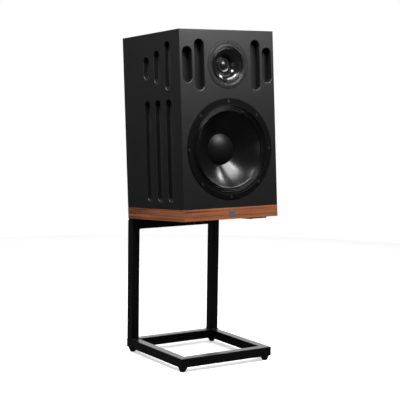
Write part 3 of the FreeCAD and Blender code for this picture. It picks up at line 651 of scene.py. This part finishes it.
def surfaced(name, group, vector, inputs, relief, rough=None, shift=None):
    """A material whose colour and height come from a shader group, as (material, its shader)."""
    material = bpy.data.materials.new(name)
    material.use_nodes = True
    tree = material.node_tree
    shader = tree.nodes["Principled BSDF"]
    place = tree.nodes.new("ShaderNodeTexCoord").outputs[vector]
    if shift:
        place = first(tree, "ShaderNodeMapping", {"Rotation": shift, "Vector": place})
    source = tree.nodes.new("ShaderNodeGroup")
    source.node_tree = group
    link(tree, place, source.inputs["Vector"])
    for label, item in inputs.items():
        source.inputs[label].default_value = (*item, 1) if isinstance(item, tuple) else item
    link(tree, source.outputs["Colour"], shader.inputs["Base Color"])
    if rough is None:
        link(tree, source.outputs["Roughness"], shader.inputs["Roughness"])
    else:
        shader.inputs["Roughness"].default_value = rough
    bump = first(tree, "ShaderNodeBump", {"Distance": relief, "Height": source.outputs["Height"]})
    link(tree, bump, shader.inputs["Normal"])
    return material, shader


def coated(name, base, roughness, spread, wear, grain, relief, others=()):
    others = dict(others)
    base = tuple(setting(base)) if isinstance(base, str) else base
    worn = others.get("worn") or tuple(min(1.0, c * 2.2 + 0.01) for c in base)
    material, shader = surfaced(name, made_once("surface", surface_group), "Object", {
        "Base": base, "Worn": worn, "Roughness": roughness, "Roughness spread": spread, "Wear": wear,
        "Grain scale": grain}, relief)
    shader.inputs["Metallic"].default_value = others.get("metallic", 0)
    shader.inputs["Specular IOR Level"].default_value = others.get("specular", 0.5)
    return material


def cloth(name, thread, gap, threads, turn):
    relief, roughness = 0.0002, 0.85
    return surfaced(name, made_once("weave", weave_group), "Object", {
        "Threads per metre": threads, "Thread": thread, "Gap": gap}, relief, roughness, turn)[0]


def walnut(name):
    material, shader = surfaced(name, made_once("wood", wood_group), "UV", {
        "Light": tuple(setting("cabinet.walnut")), "Dark": tuple(setting("cabinet.walnut_dark"))}, 0.00006)
    shader.inputs["Specular IOR Level"].default_value = 0.35
    return material


def finish(name):
    """One of the finishes above, or the walnut."""
    if name in COATINGS:
        return made_once(name, coated, name, *COATINGS[name])
    if name in CLOTHS:
        return made_once(name, cloth, name, *CLOTHS[name])
    return made_once(name, walnut, name)


def put(piece, material, body, slot, *nodes, place=None, sharp=None):
    """Gives a piece its place, finish and body, and hides the design nodes it stands for; its slot is not
    used.
    """
    if place is not None:
        piece.data.transform(place)
    if sharp:
        smooth(piece.data, sharp)
    even = piece.modifiers.new("even shading", "WEIGHTED_NORMAL")
    even.keep_sharp = True
    even.weight = 90
    settle(piece)
    piece.data.materials.clear()
    piece.data.materials.append(finish(material))
    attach(piece, body)
    if nodes:
        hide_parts(*nodes)
    return piece


def coat_nodes(material, *nodes):
    """Gives the design nodes that stay visible their finish."""
    for node in nodes:
        data = frame["nodes"][node].data
        data.materials.clear()
        data.materials.append(finish(material))


# ------------------------------------------------------------------ cabinet pieces

# in millimetres: the front slots' distance from the middle and height, and the side slots' heights
FRONT_SLOTS = ((89.5, 133), (127, 93))
SIDE_SLOTS = (128, 87, 60)
LONG_SLOT = 271


class SPEAKER_OT_cabinet(bpy.types.Operator):
    """The painted box with its vent slots and the seats of the drivers and terminals"""
    bl_idname = "speaker.cabinet"
    bl_label = "Cabinet"

    def execute(self, context):
        s = context.scene.cabinet
        d = context.scene.drivers
        half = WIDTH / 2
        shell = rounded_block("cabinet_shell", (-half, 0, PLINTH), (half, DEPTH, HEIGHT), s.edge)
        hollow = bmesh.new()
        block(hollow, (s.wall - half, s.front_wall, PLINTH + s.end_wall),
              (half - s.wall, DEPTH - s.end_wall, HEIGHT - s.end_wall))
        cut(shell, hollow)

        tools = bmesh.new()
        for sign in (-1, 1):
            for across, tall in FRONT_SLOTS:
                middle = sign * across * MM
                slot_cutter(tools, lambda u, v, t: (middle + u, t, s.slot_up + v), s.slot_width, tall * MM,
                            s.slot_edge, s.front_wall + 2 * MM)
            for i, tall in enumerate(SIDE_SLOTS):
                back = s.first_slot + i * s.slot_step
                for up, high in ((s.slot_up, tall * MM), (s.long_slot_up, LONG_SLOT * MM)):
                    slot_cutter(tools, lambda u, v, t: (sign * (half - t), back + u, up + v), s.slot_width,
                                high, s.slot_edge, s.wall + 2 * MM)
        cut(shell, tools)

        seats = bmesh.new()
        through = s.front_wall + 1 * MM
        for up, seat, depth, neck in ((up_the_face("woofer_gasket"), d.rim + 0.5 * MM, 5 * MM, 121 * MM),
                                      (up_the_face("tweeter_dome"), d.mid_rim + 0.5 * MM, 4 * MM, 52 * MM)):
            edge = 0.5 * MM
            seat_tool = bmesh.new()
            lathe(seat_tool, [(0, 2 * MM), (seat + edge, 2 * MM), (seat + edge, 0), (seat, -edge),
                              (seat, -depth), (neck, -depth), (neck, -through), (0, -through)])
            mesh = mesh_of(seat_tool, "seat")
            mesh.transform(CABINET.inverted() @ axis_at(up))
            seats.from_mesh(mesh)
        cup_low, cup_high = cup_opening()
        block(seats, (cup_low[0], DEPTH - s.end_wall - 1 * MM, cup_low[1]),
              (cup_high[0], DEPTH + 1 * MM, cup_high[1]))
        cut(shell, seats)

        put(shell, "satin_black_paint", "cabinet", "cabinet_paint", "front_baffle", "side_panel_left",
            "side_panel_right", "top_panel", "rear_panel", place=CABINET, sharp=25)
        return {"FINISHED"}


def cup_opening():
    """The hole for the terminal cup in the rear panel, as ((x, z), (x, z)) in the cabinet."""
    up = 130 * MM
    return (-46 * MM, up - 34 * MM), (46 * MM, up + 34 * MM)


class SPEAKER_OT_plinth(bpy.types.Operator):
    """The walnut plinth, with grain that runs round it, and the plain badge let into its front"""
    bl_idname = "speaker.plinth"
    bl_label = "Plinth and badge"

    def execute(self, context):
        half = WIDTH / 2
        plinth = rounded_block("walnut_base", (-half, 0, 0), (half, DEPTH, PLINTH - 0.6 * MM), 0.6 * MM)
        side = 8.3 * MM
        recess = bmesh.new()
        block(recess, (-side, -1 * MM, PLINTH / 2 - side), (side, 1.05 * MM, PLINTH / 2 + side))
        cut(plinth, recess)
        layout = plinth.data.uv_layers.new(name="grain")
        for face in plinth.data.polygons:
            for loop in face.loop_indices:
                x, y, z = plinth.data.vertices[plinth.data.loops[loop].vertex_index].co
                if abs(face.normal.z) > 0.7:
                    layout.data[loop].uv = (x, y + 1)
                elif abs(face.normal.x) > 0.7:
                    layout.data[loop].uv = (half * 3 + y, z)
                else:
                    layout.data[loop].uv = (x, z)
        put(plinth, "oiled_walnut", "cabinet", "walnut", "walnut_plinth", place=CABINET, sharp=25)

        # the thin shadow line between the box and the plinth
        inset = 0.8 * MM
        seam = rounded_block("plinth_shadow_gap", (inset - half, inset, PLINTH - 0.7 * MM),
                             (half - inset, DEPTH - inset, PLINTH + 0.1 * MM), 0.1 * MM, 1)
        put(seam, "cast_black", "cabinet", "cabinet_paint", place=CABINET)
        self.badge()
        return {"FINISHED"}

    def badge(self):
        size = 8.2 * MM
        plate = rounded_block("badge_plate", (-size, -size, -0.9 * MM), (size, size, 0.5 * MM), 0.5 * MM)
        dish = bmesh.new()
        dimple = ((0, 2), (3.4, 2), (3.4, 0.3), (3.0, -0.1), (0, -0.35))
        lathe(dish, [(r * MM, z * MM) for r, z in dimple], 48)
        cut(plate, dish)
        put(plate, "badge_anodised", "cabinet", "badge_metal", "badge", place=axis_at(PLINTH / 2), sharp=30)


class SPEAKER_OT_cloths(bpy.types.Operator):
    """The black acoustic cloth behind the slots, and the boards inside the box"""
    bl_idname = "speaker.cloths"
    bl_label = "Cloth and inner boards"

    def execute(self, context):
        coat_nodes("side_cloth", "side_cloth_left", "side_cloth_right")
        coat_nodes("front_cloth", "front_cloth")
        coat_nodes("bare_board", "shelf_brace", "bottom_panel")
        return {"FINISHED"}


# ------------------------------------------------------------------ woofer pieces

def hex_bolt(head, tall, shank, reach, socket):
    """A socket-head bolt's mesh about its own axis, with its head's top at zero."""
    profile = rounded([(0, 0), (head, 0), (head, -tall), (shank, -tall), (shank, -reach), (0, -reach)],
                      [0, 0.35, 0.1, 0, 0.3, 0])
    piece = turned("bolt_blank", profile, HERE, 32)
    ring = [(socket * MM * math.cos(math.radians(60 * i)), socket * MM * math.sin(math.radians(60 * i)))
            for i in range(6)]
    tool = bmesh.new()
    prism(tool, [[(x, y, z * MM) for x, y in ring] for z in (1, -0.55 * tall)])
    cut(piece, tool)
    return lone_mesh(piece)


def ring_piece(name, base, count, circle, height, place, node):
    piece = grown(name, base, ring_tree, {
        "Count": count, "Circle radius": circle, "Height": height, "Material": finish("black_oxide")})
    put(piece, "black_oxide", "cabinet", "black_screws", node, place=place, sharp=30)


def stretch_between(piece, body, place, inner, outer):
    """Blends a ring piece from its glued outer edge on the cabinet to its inner edge on a moving cone."""
    centre = place.translation
    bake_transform(piece, "cabinet", body, start=tuple(centre), end=tuple(centre + FACING * outer))
    weights = piece.data.attributes["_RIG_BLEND"]
    back = place.inverted()
    for point, weight in zip(piece.data.vertices, weights.data):
        local = back @ point.co
        share = (outer - math.hypot(local.x, local.y)) / (outer - inner)
        share = min(1.0, max(0.0, share))
        weight.value = share * share * (3 - 2 * share)


def pleated(name, place, inner, outer, rolls, depth, height, thickness, body, node):
    """A pleated ring that stretches between the cabinet and a moving cone."""
    blank = bpy.data.meshes.new(name)
    piece = grown(name, blank, pleat_tree, {
        "Inner radius": inner, "Outer radius": outer, "Rolls": rolls, "Roll depth": depth, "Height": height,
        "Material": finish("doped_cloth")})
    skin = piece.modifiers.new("thickness", "SOLIDIFY")
    skin.thickness = thickness
    skin.offset = 0.0
    settle(piece)
    piece.data.transform(place)
    smooth(piece.data, 60)
    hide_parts(node)
    stretch_between(piece, body, place, inner + 1.2 * MM, outer - 1.2 * MM)


class SPEAKER_OT_woofer(bpy.types.Operator):
    """The woofer: cast frame, bolts, pleated surround, cone, dust cap and motor"""
    bl_idname = "speaker.woofer"
    bl_label = "Woofer"

    def execute(self, context):
        d = context.scene.drivers
        place = axis_at(up_the_face("woofer_gasket"))
        rim, lip = d.rim / MM, d.lip / MM
        self.basket(d, place, rim, lip)
        bolt = hex_bolt(4.2, 2.8, 2.5, 19.8, 2.1)
        ring_piece("woofer_bolt_ring", bolt, d.bolts, d.bolt_circle, 0.8 * MM, place, "woofer_bolts")
        pleated("woofer_pleated_surround", place, 101.8 * MM, d.lip - 0.4 * MM, d.rolls, 1.9 * MM, -2.8 * MM,
                0.8 * MM, "woofer_moving", "woofer_surround")
        self.cone(place)
        self.dust_cap(place)
        self.motor()
        return {"FINISHED"}

    def basket(self, d, place, rim, lip):
        profile = rounded([
            (rim, -4), (rim, 1), (lip + 4.5, 1), (lip + 3.2, 0.2), (lip + 1.8, 0.9), (lip, 0.4), (lip, -3.5),
            (113.4, -3.5), (113.4, -20), (84, -66), (84, -74), (76, -74), (76, -86), (60, -86), (60, -92),
            (90, -92), (90, -74), (120, -22), (120, -4)], [0, 0.9, 0.6, 0.6, 0.6, 0.5, 0, 0] + [0.6] * 11)
        basket = turned("woofer_cast_frame", profile, HERE, 192)
        tools = bmesh.new()
        drill(tools, d.bolts, d.bolt_circle, [(0, 2), (6, 2), (6, -2), (2.6, -2), (2.6, -9), (0, -9)], 40)
        windows = 6
        outline = [(-24, 88), (24, 88), (32, 106), (-32, 106)]
        for i in range(windows):
            turn = Matrix.Rotation(2 * math.pi * i / windows, 4, "Z")
            prism(tools, [[turn @ Vector((x * MM, y * MM, z * MM)) for x, y in outline] for z in (-24, -68)])
        cut(basket, tools)
        put(basket, "cast_black", "cabinet", "basket", "woofer_basket", place=place, sharp=30)

    def cone(self, place):
        """A curved cone with a flat glued lip under the surround."""
        front = flare((101.3, -4.3), (79.0, -27.5), (33.0, -51.6), 24)
        lip = [(104, -4.6), (103.8, -4.1), (102.6, -3.75)]
        back = [(r, z - 1.5) for r, z in reversed(front)] + [(103.6, -5.6)]
        cone = turned("woofer_curved_cone", lip + front + back, place, 160, sharp=50)
        put(cone, "coated_cone", "woofer_moving", "cone", "woofer_cone")

    def dust_cap(self, place):
        base, radius, rise, thickness = -47.0, 42.0, 14.6, 0.9
        rim = [(radius - 0.6, base - 1.2), (radius + 1.6, base - 0.1), (radius + 1.4, base + 0.5)]
        cap = turned("woofer_dust_dome", rim + dome(base, radius, rise, thickness, 20), place, 128, sharp=50)
        put(cap, "satin_cap", "woofer_moving", "cone", "woofer_dust_cap")

    def motor(self):
        for material, nodes in (
                ("foam_gasket", ("woofer_gasket",)), ("varnished_cloth", ("woofer_spider",)),
                ("enamelled_copper", ("woofer_voice_coil", "crossover_inductors")),
                ("coated_cone", ("mid_voice_coil",)),
                ("plated_steel", ("woofer_front_plate", "woofer_yoke", "mid_yoke", "tweeter_motor")),
                ("dark_ferrite", ("woofer_magnet", "mid_magnet"))):
            coat_nodes(material, *nodes)


# ------------------------------------------------------------------ upper unit

class SPEAKER_OT_upper_unit(bpy.types.Operator):
    """The upper unit: ribbed flange, screws, surround, flared cone and the small dome at its centre"""
    bl_idname = "speaker.upper_unit"
    bl_label = "Upper unit"

    def execute(self, context):
        d = context.scene.drivers
        place = axis_at(up_the_face("tweeter_dome"))
        self.flange(d, place)
        screw = hex_bolt(3.0, 1.8, 1.75, 16.8, 1.4)
        ring_piece("upper_screw_ring", screw, d.mid_screws, d.mid_circle, 0.75 * MM, place, "mid_screws")
        pleated("upper_pleated_surround", place, 42.4 * MM, 48.9 * MM, 2, 0.8 * MM, -2.3 * MM, 0.6 * MM,
                "mid_moving", "mid_surround")
        self.cone(place)
        self.tweeter(place)
        coat_nodes("chamber_plastic", "mid_chamber")
        return {"FINISHED"}

    def flange(self, d, place):
        rim = d.mid_rim / MM
        ribs, steps, inner_edge, outer_edge = 3, 36, 49.6, 55.2
        face = []
        for share in (i / steps for i in range(steps + 1)):
            groove = 0.45 * (1 - math.cos(2 * math.pi * ribs * share)) / 2
            face.append((outer_edge + (inner_edge - outer_edge) * share, 0.8 - groove - 0.5 * share))
        outer = rounded([(rim, -4), (rim, 0.8), (56, 0.8)], [0, 0.8, 0])
        inner = [(49.0, -0.4), (48.9, -3), (46.5, -3), (46.5, -12), (34, -34), (34, -38), (26, -38),
                 (26, -42), (40, -42), (40, -36), (50, -14), (50, -4)]
        flange = turned("upper_ribbed_flange", outer + face + inner, HERE, 160)
        tools = bmesh.new()
        drill(tools, d.mid_screws, d.mid_circle,
              [(0, 2), (3.5, 2), (3.4, -1.0), (1.9, -1.0), (1.9, -9), (0, -9)], 32)
        cut(flange, tools)
        put(flange, "satin_flange", "cabinet", "flange_plastic", "mid_flange", place=place, sharp=30)

    def cone(self, place):
        """A flared cone with a rolled lip."""
        front = flare((41.4, -3.0), (27.5, -7.5), (20.1, -21.0), 20)
        lip = arc((42.2, -2.7), 1.05, -60, 170, 10)
        back = [(r + 0.35, z - 0.9) for r, z in reversed(front)]
        cone = turned("upper_flared_cone", lip + front[1:] + back, place, 128, sharp=50)
        put(cone, "gloss_flare", "mid_moving", "cone", "mid_cone")

    def tweeter(self, place):
        ring = rounded([(12.9, -24), (18.7, -24), (18.7, -20.8), (17.4, -19.6), (15.6, -20.2), (13.0, -21.6)],
                       [0, 0, 0.3, 0.6, 0.8, 0.3])
        face = turned("tweeter_ring", ring, place, 96)
        put(face, "tweeter_satin", "cabinet", "tweeter_ring", "tweeter_faceplate")
        cap = turned("tweeter_soft_dome", dome(-21.6, 12.4, 4.6, 0.5, 14), place, 96, sharp=60)
        put(cap, "coated_dome", "tweeter_moving", "dome_cloth", "tweeter_dome")


# ------------------------------------------------------------------ terminals and crossover

def rounded_rect(width, tall, radius, z, steps=6):
    """A rounded rectangle's ring of points at one height."""
    ring = []
    for i, (sx, sy) in enumerate(((1, 1), (-1, 1), (-1, -1), (1, -1))):
        centre = (sx * (width / 2 - radius), sy * (tall / 2 - radius))
        for x, y in arc(centre, radius, 90 * i, 90 * (i + 1), steps):
            ring.append((x, y, z))
    return ring


class SPEAKER_OT_terminals(bpy.types.Operator):
    """The recessed cup at the back with its screws, two posts and their fluted caps"""
    bl_idname = "speaker.terminals"
    bl_label = "Terminals"

    def execute(self, context):
        up = 130 * MM
        self.cup(rear_at(0, DEPTH, up))
        for name, sign in (("red", -1), ("black", 1)):
            self.post(name, rear_at(sign * 19 * MM, DEPTH - 25 * MM, up))
        coat_nodes("circuit_board", "crossover_board")
        coat_nodes("capacitor_film", "crossover_capacitors")
        return {"FINISHED"}

    def cup(self, place):
        width, tall, reach = 92 * MM, 68 * MM, 14 * MM
        gap = 1 * MM
        flange = (width + reach, tall + reach, 7 * MM)
        body = (width - gap, tall - gap, 4 * MM)
        bm = bmesh.new()
        edge = 0.8 * MM
        prism(bm, [
            rounded_rect(flange[0] - 2 * edge, flange[1] - 2 * edge, flange[2] - edge, 2.5 * MM),
            rounded_rect(*flange, 2.5 * MM - edge), rounded_rect(*flange, 0.02 * MM),
            rounded_rect(*body, 0.02 * MM), rounded_rect(*body, -28 * MM)])
        bmesh.ops.recalc_face_normals(bm, faces=bm.faces)
        cup = new_object("terminal_dish", mesh_of(bm, "terminal_dish"))
        recess = bmesh.new()
        inner = (body[0] - 6 * MM, body[1] - 6 * MM, 5 * MM)
        prism(recess, [rounded_rect(inner[0] + 2 * MM, inner[1] + 2 * MM, inner[2] + 1 * MM, 4 * MM),
                       rounded_rect(inner[0] + 2 * MM, inner[1] + 2 * MM, inner[2] + 1 * MM, 2.5 * MM),
                       rounded_rect(*inner, 1 * MM),
                       rounded_rect(inner[0] - 2 * MM, inner[1] - 2 * MM, inner[2], -23 * MM),
                       rounded_rect(inner[0] - 6 * MM, inner[1] - 6 * MM, inner[2], -25 * MM)])
        cut(cup, recess)
        put(cup, "moulded_black", "cabinet", "terminal_plastic", "terminal_cup", place=place, sharp=30)

        screw = hex_bolt(3.0, 1.4, 1.6, 16.0, 1.3)
        screws = grown("terminal_screw_set", screw, grid_tree, {
            "Width": 98 * MM, "Length": 74 * MM, "Material": finish("black_oxide")})
        put(screws, "black_oxide", "cabinet", "black_screws", "terminal_screws",
            place=place @ Matrix.Translation((0, 0, 3.9 * MM)), sharp=30)

    def post(self, name, place):
        across = 6.8
        corner = math.pi / 3

        def flats(turn, radius, height):
            if radius < 5 * MM:
                return radius
            return radius * (math.cos(corner / 2) / math.cos((turn % corner) - corner / 2))

        stud = turned(f"post_stud_{name}", rounded([
            (0, -8), (3, -8), (3, 0), (across, 0), (across, 3), (3, 3), (3, 20.4), (2, 20.4), (2, 4.4),
            (0, 4.4)], [0, 0.3, 0, 0.2, 0.5, 0, 0.4, 0.2, 0, 0]), place, 72, flats)
        put(stud, "gold_plate", "cabinet", "post_brass", f"post_{name}")
        ring = rounded([(3.05, 3.2), (5.6, 3.2), (5.6, 4.2), (3.05, 4.2)], 0.2)
        washer = turned(f"post_washer_{name}", ring, place, 64)
        put(washer, "gold_plate", f"{name}_washer_body", "post_brass", f"washer_{name}")
        flutes = 12

        def fluted(turn, radius, height):
            if radius < 6.2 * MM or not 5.4 * MM < height < 16.6 * MM:
                return radius
            return radius - 0.45 * MM * (0.5 + 0.5 * math.cos(flutes * turn)) ** 2

        cap = turned(f"post_cap_{name}", rounded([
            (3.05, 4.5), (6.1, 4.5), (6.5, 5.3), (6.5, 5.6), (6.5, 16.4), (6.5, 16.8), (5.6, 18.5),
            (3.05, 18.5)], [0, 0.2, 0.2, 0, 0, 0.2, 0.4, 0.2]), place, 144, fluted)
        put(cap, f"cap_{name}_gloss", f"{name}_cap_body", f"cap_{name}_plastic", f"cap_{name}")


# ------------------------------------------------------------------ stand pieces

def square_profile(size, radius, steps=4):
    """A rounded square from (0, 0) to (size, size)."""
    return [(x + size / 2, y + size / 2) for x, y, _ in rounded_rect(size, size, radius, 0, steps)]


class SPEAKER_OT_stand(bpy.types.Operator):
    """The welded square-tube stand: base frame, uprights, crossbar, arms, bolts and feet"""
    bl_idname = "speaker.stand"
    bl_label = "Stand"

    def execute(self, context):
        s = context.scene.stand
        self.base(s)
        self.posts(s)
        self.arms(s)
        self.feet()
        return {"FINISHED"}

    def base(self, s):
        low, high = (Vector(c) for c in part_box("base_tube_front"))
        tube = high.z - low.z
        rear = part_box("base_tube_rear")[1][1]
        middle, half_w, half_d = (low.y + rear) / 2, high.x, (rear - low.y) / 2
        for name, along_x, sign in (("front", True, -1), ("rear", True, 1),
                                    ("left", False, -1), ("right", False, 1)):
            rings = []
            for end in (-1, 1):
                ring = []
                for inward, up in square_profile(tube, s.corner):
                    far, near = (half_d, half_w) if along_x else (half_w, half_d)
                    out, along = sign * (far - inward), end * (near - inward)
                    x, y = (along, out) if along_x else (out, along)
                    ring.append((x, middle + y, low.z + up))
                rings.append(ring)
            self.tube(f"frame_tube_{name}", rings, "base_tube_" + name)

    def tube(self, name, rings, node):
        bm = bmesh.new()
        prism(bm, rings)
        bmesh.ops.recalc_face_normals(bm, faces=bm.faces)
        piece = new_object(name, mesh_of(bm, name))
        put(piece, "black_powder_coat", "cabinet", "stand_paint", node, sharp=40)

    def posts(self, s):
        for name, sign in (("left", -1), ("right", 1)):
            low, high = (Vector(c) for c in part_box("upright_" + name))
            size = high.x - low.x
            edge = 0.8 * MM
            shape = [(low.x + a, low.y + b) for a, b in square_profile(size, s.corner)]
            top = [(low.x + edge + a, low.y + edge + b)
                   for a, b in square_profile(size - 2 * edge, s.corner - edge / 2)]
            self.tube(f"stand_upright_{name}", [
                [(x, y, low.z) for x, y in shape], [(x, y, high.z - edge) for x, y in shape],
                [(x, y, high.z) for x, y in top]], "upright_" + name)
            inner = high.x if sign < 0 else low.x
            outer = low.x if sign < 0 else high.x
            foot = [(outer, low.y, low.z), (inner, low.y, low.z), (inner, high.y, low.z)]
            self.bead(s, f"weld_foot_{name}", foot)
            bar_low, bar_high = (Vector(c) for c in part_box("crossbar"))
            end = [(inner, bar_low.y, bar_high.z - s.corner), (inner, bar_low.y, bar_low.z),
                   (inner, bar_high.y, bar_low.z)]
            self.bead(s, f"weld_bar_{name}", end)
        low, high = (Vector(c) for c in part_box("crossbar"))
        shape = square_profile(high.z - low.z, s.corner)
        self.tube("stand_crossbar", [[(x, low.y + a, low.z + b) for a, b in shape] for x in (low.x, high.x)],
                  "crossbar")

    def bead(self, s, name, corners):
        bm = bmesh.new()
        points = [bm.verts.new(p) for p in corners]
        for a, b in zip(points, points[1:]):
            bm.edges.new((a, b))
        piece = grown(name, mesh_of(bm, name), bead_tree, {
            "Bead radius": s.bead, "Step": s.bead_step, "Material": finish("black_powder_coat")})
        put(piece, "black_powder_coat", "cabinet", "stand_paint", sharp=60)

    def arms(self, s):
        for name in ("left", "right"):
            low, high = (Vector(c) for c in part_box("arm_" + name))
            front, rear, top = 13.5 * MM, 305 * MM, -0.02 * MM
            arm = rounded_block(f"flat_arm_{name}", (low.x, front, -s.arm), (high.x, rear, top), 0.8 * MM)
            put(arm, "black_powder_coat", "cabinet", "stand_paint", "arm_" + name, place=CABINET, sharp=40)
        coat_nodes("black_powder_coat", "arm_seats")
        head = turned("domed_head", [(0, 0.0)] + [(5.5 * math.cos(a), -3.4 * math.sin(a)) for a in
                      (math.radians(10 * i) for i in range(9))] + [(0.0, -3.4)], HERE, 48)
        bolts = grown("arm_bolt_set", lone_mesh(head), grid_tree, {
            "Width": 184 * MM, "Length": 200 * MM, "Material": finish("dark_zinc")})
        put(bolts, "dark_zinc", "cabinet", "arm_bolt_steel", "arm_bolts",
            place=CABINET @ Matrix.Translation((0, 145 * MM, -s.arm)), sharp=60)

    def feet(self):
        profile = rounded([(0, 0), (6.5, 0), (11.4, 9.0), (12, 9.5), (12, 12.5), (0, 12.5)],
                          [0, 0.9, 0.4, 0.5, 0.5, 0])
        for row in ("front", "rear"):
            for side in ("left", "right"):
                low, high = (Vector(c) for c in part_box(f"foot_{row}_{side}"))
                middle = (low + high) / 2
                place = Matrix.Translation((middle.x, middle.y, low.z))
                foot = turned(f"stand_foot_{row}_{side}", profile, place, 64)
                put(foot, "hard_rubber", "cabinet", "foot_rubber", f"foot_{row}_{side}")


# ------------------------------------------------------------------ stage

class SPEAKER_OT_stage(bpy.types.Operator):
    """The pale floor, the soft lights, the pale surroundings and the camera"""
    bl_idname = "speaker.stage"
    bl_label = "Stage"

    def execute(self, context):
        self.floor()
        self.lights()
        self.surroundings(context)
        self.camera(context)
        context.scene.view_settings.view_transform = "Standard"
        return {"FINISHED"}

    def floor(self):
        bm = bmesh.new()
        bmesh.ops.create_circle(bm, cap_ends=True, segments=96, radius=2.4)
        floor = new_object("pale_floor", mesh_of(bm, "pale_floor"))
        material = bpy.data.materials.new("pale_floor")
        material.use_nodes = True
        tree = material.node_tree
        shader = tree.nodes["Principled BSDF"]
        for label, item in (("Roughness", 0.9), ("Specular IOR Level", 0.0),
                            ("Emission Color", (1, 1, 1, 1))):
            shader.inputs[label].default_value = item
        seen = tree.nodes.new("ShaderNodeLightPath").outputs["Is Camera Ray"]
        link(tree, times(tree, seen, 0.56), shader.inputs["Emission Strength"])
        link(tree, blend_colours(tree, seen, (*grey(0.06), 1), (*grey(0.9), 1)), shader.inputs["Base Color"])
        floor.data.materials.append(material)

    def soft_box(self, name, position, aim, size, power):
        light = bpy.data.lights.new(name, "AREA")
        light.shape = "RECTANGLE"
        light.size, light.size_y = size
        light.energy = power
        lamp = bpy.data.objects.new(name, light)
        lamp.location = position
        lamp.rotation_euler = (Vector(position) - Vector(aim)).to_track_quat("Z", "Y").to_euler()
        lamp.visible_camera = False
        bpy.context.scene.collection.objects.link(lamp)

    def lights(self):
        aim = (0.0, -0.15, 0.62)
        self.soft_box("front_box", (0.08, -0.72, 1.30), aim, (0.13, 0.11), 2.8)
        self.soft_box("side_box", (0.72, -0.30, 1.22), aim, (0.13, 0.11), 2.3)
        self.soft_box("middle_box", (0.32, -0.66, 1.34), (0.0, -0.1, 0.75), (0.42, 0.30), 9.2)
        self.soft_box("left_box", (-0.50, -0.50, 1.75), aim, (0.30, 0.30), 15.0)
        self.soft_box("far_left_box", (-0.85, 0.05, 1.62), aim, (0.4, 0.4), 9.0)
        self.soft_box("overhead", (0.1, 0.4, 2.4), (0, 0, 0), (1.6, 1.6), 30)

    def surroundings(self, context):
        """White to the camera; to the pieces a dim room with a bright wall behind on the right."""
        world = bpy.data.worlds.new("pale_surroundings")
        world.use_nodes = True
        tree = world.node_tree
        tree.nodes.clear()
        seen = tree.nodes.new("ShaderNodeLightPath").outputs["Is Camera Ray"]
        view = first(tree, "ShaderNodeTexCoord")
        level = add(tree, "ShaderNodeSeparateXYZ", {0: view}).outputs

        def towards(x, y, low, high, amount):
            """A soft glow around one level direction."""
            along = calc(tree, "ADD", times(tree, level[0], x), times(tree, level[1], y))
            return remap(tree, along, low, high, 0.0, amount)

        wall = towards(0.62, 0.78, 0.55, 0.95, 1.6)
        side = towards(-0.91, -0.41, 0.92, 0.995, 0.9)
        glow = calc(tree, "ADD", calc(tree, "ADD", wall, side), 0.04)
        white = first(tree, "ShaderNodeBackground", {"Color": (1, 1, 1, 1)})
        dim = first(tree, "ShaderNodeBackground", {"Color": (1, 1, 1, 1), "Strength": glow})
        mix = first(tree, "ShaderNodeMixShader", {0: seen, 1: dim, 2: white})
        add(tree, "ShaderNodeOutputWorld", {"Surface": mix})
        context.scene.world = world

    def camera(self, context):
        s = context.scene.stage
        data = bpy.data.cameras.new("view")
        data.lens = s.lens
        data.sensor_width = 36.0
        data.clip_end = 50.0
        camera = bpy.data.objects.new("view", data)
        back = Vector((-math.sin(s.heading) * math.cos(s.pitch), -math.cos(s.heading) * math.cos(s.pitch),
                       math.sin(s.pitch)))
        right = (-back).cross(Vector((0, 0, 1))).normalized()
        above = right.cross(-back)
        across = right * math.cos(s.roll) + above * math.sin(s.roll)
        upward = above * math.cos(s.roll) - right * math.sin(s.roll)
        turn = Matrix((across, upward, back)).transposed().to_4x4()
        camera.matrix_world = Matrix.Translation(Vector(s.eye)) @ turn
        context.scene.collection.objects.link(camera)
        context.scene.camera = camera


# ------------------------------------------------------------------ panel, registration, main

OPERATORS = (SPEAKER_OT_cabinet, SPEAKER_OT_plinth, SPEAKER_OT_cloths, SPEAKER_OT_woofer,
             SPEAKER_OT_upper_unit, SPEAKER_OT_terminals, SPEAKER_OT_stand, SPEAKER_OT_stage)
SETTINGS = (("cabinet", CabinetSettings), ("drivers", DriverSettings), ("stand", StandSettings),
            ("stage", StageSettings))


class SPEAKER_PT_build(bpy.types.Panel):
    """Lists the pieces and their sizes"""
    bl_idname = "SPEAKER_PT_build"
    bl_label = "Loudspeaker"
    bl_space_type = "VIEW_3D"
    bl_region_type = "UI"
    bl_category = "Speaker"

    def draw(self, context):
        for operator in OPERATORS:
            self.layout.operator(operator.bl_idname)
        for name, group in SETTINGS:
            box = self.layout.box()
            for field in group.__annotations__:
                box.prop(getattr(context.scene, name), field)


def register():
    for name, group in SETTINGS:
        bpy.utils.register_class(group)
        setattr(bpy.types.Scene, name, bpy.props.PointerProperty(type=group))
    for item in (*OPERATORS, SPEAKER_PT_build):
        bpy.utils.register_class(item)


def unregister():
    for item in reversed((*OPERATORS, SPEAKER_PT_build)):
        bpy.utils.unregister_class(item)
    for name, group in reversed(SETTINGS):
        delattr(bpy.types.Scene, name)
        bpy.utils.unregister_class(group)


def main():
    register()
    for operator in OPERATORS:
        area, call = operator.bl_idname.split(".")
        getattr(getattr(bpy.ops, area), call)()


if __name__ == "__main__":
    main()
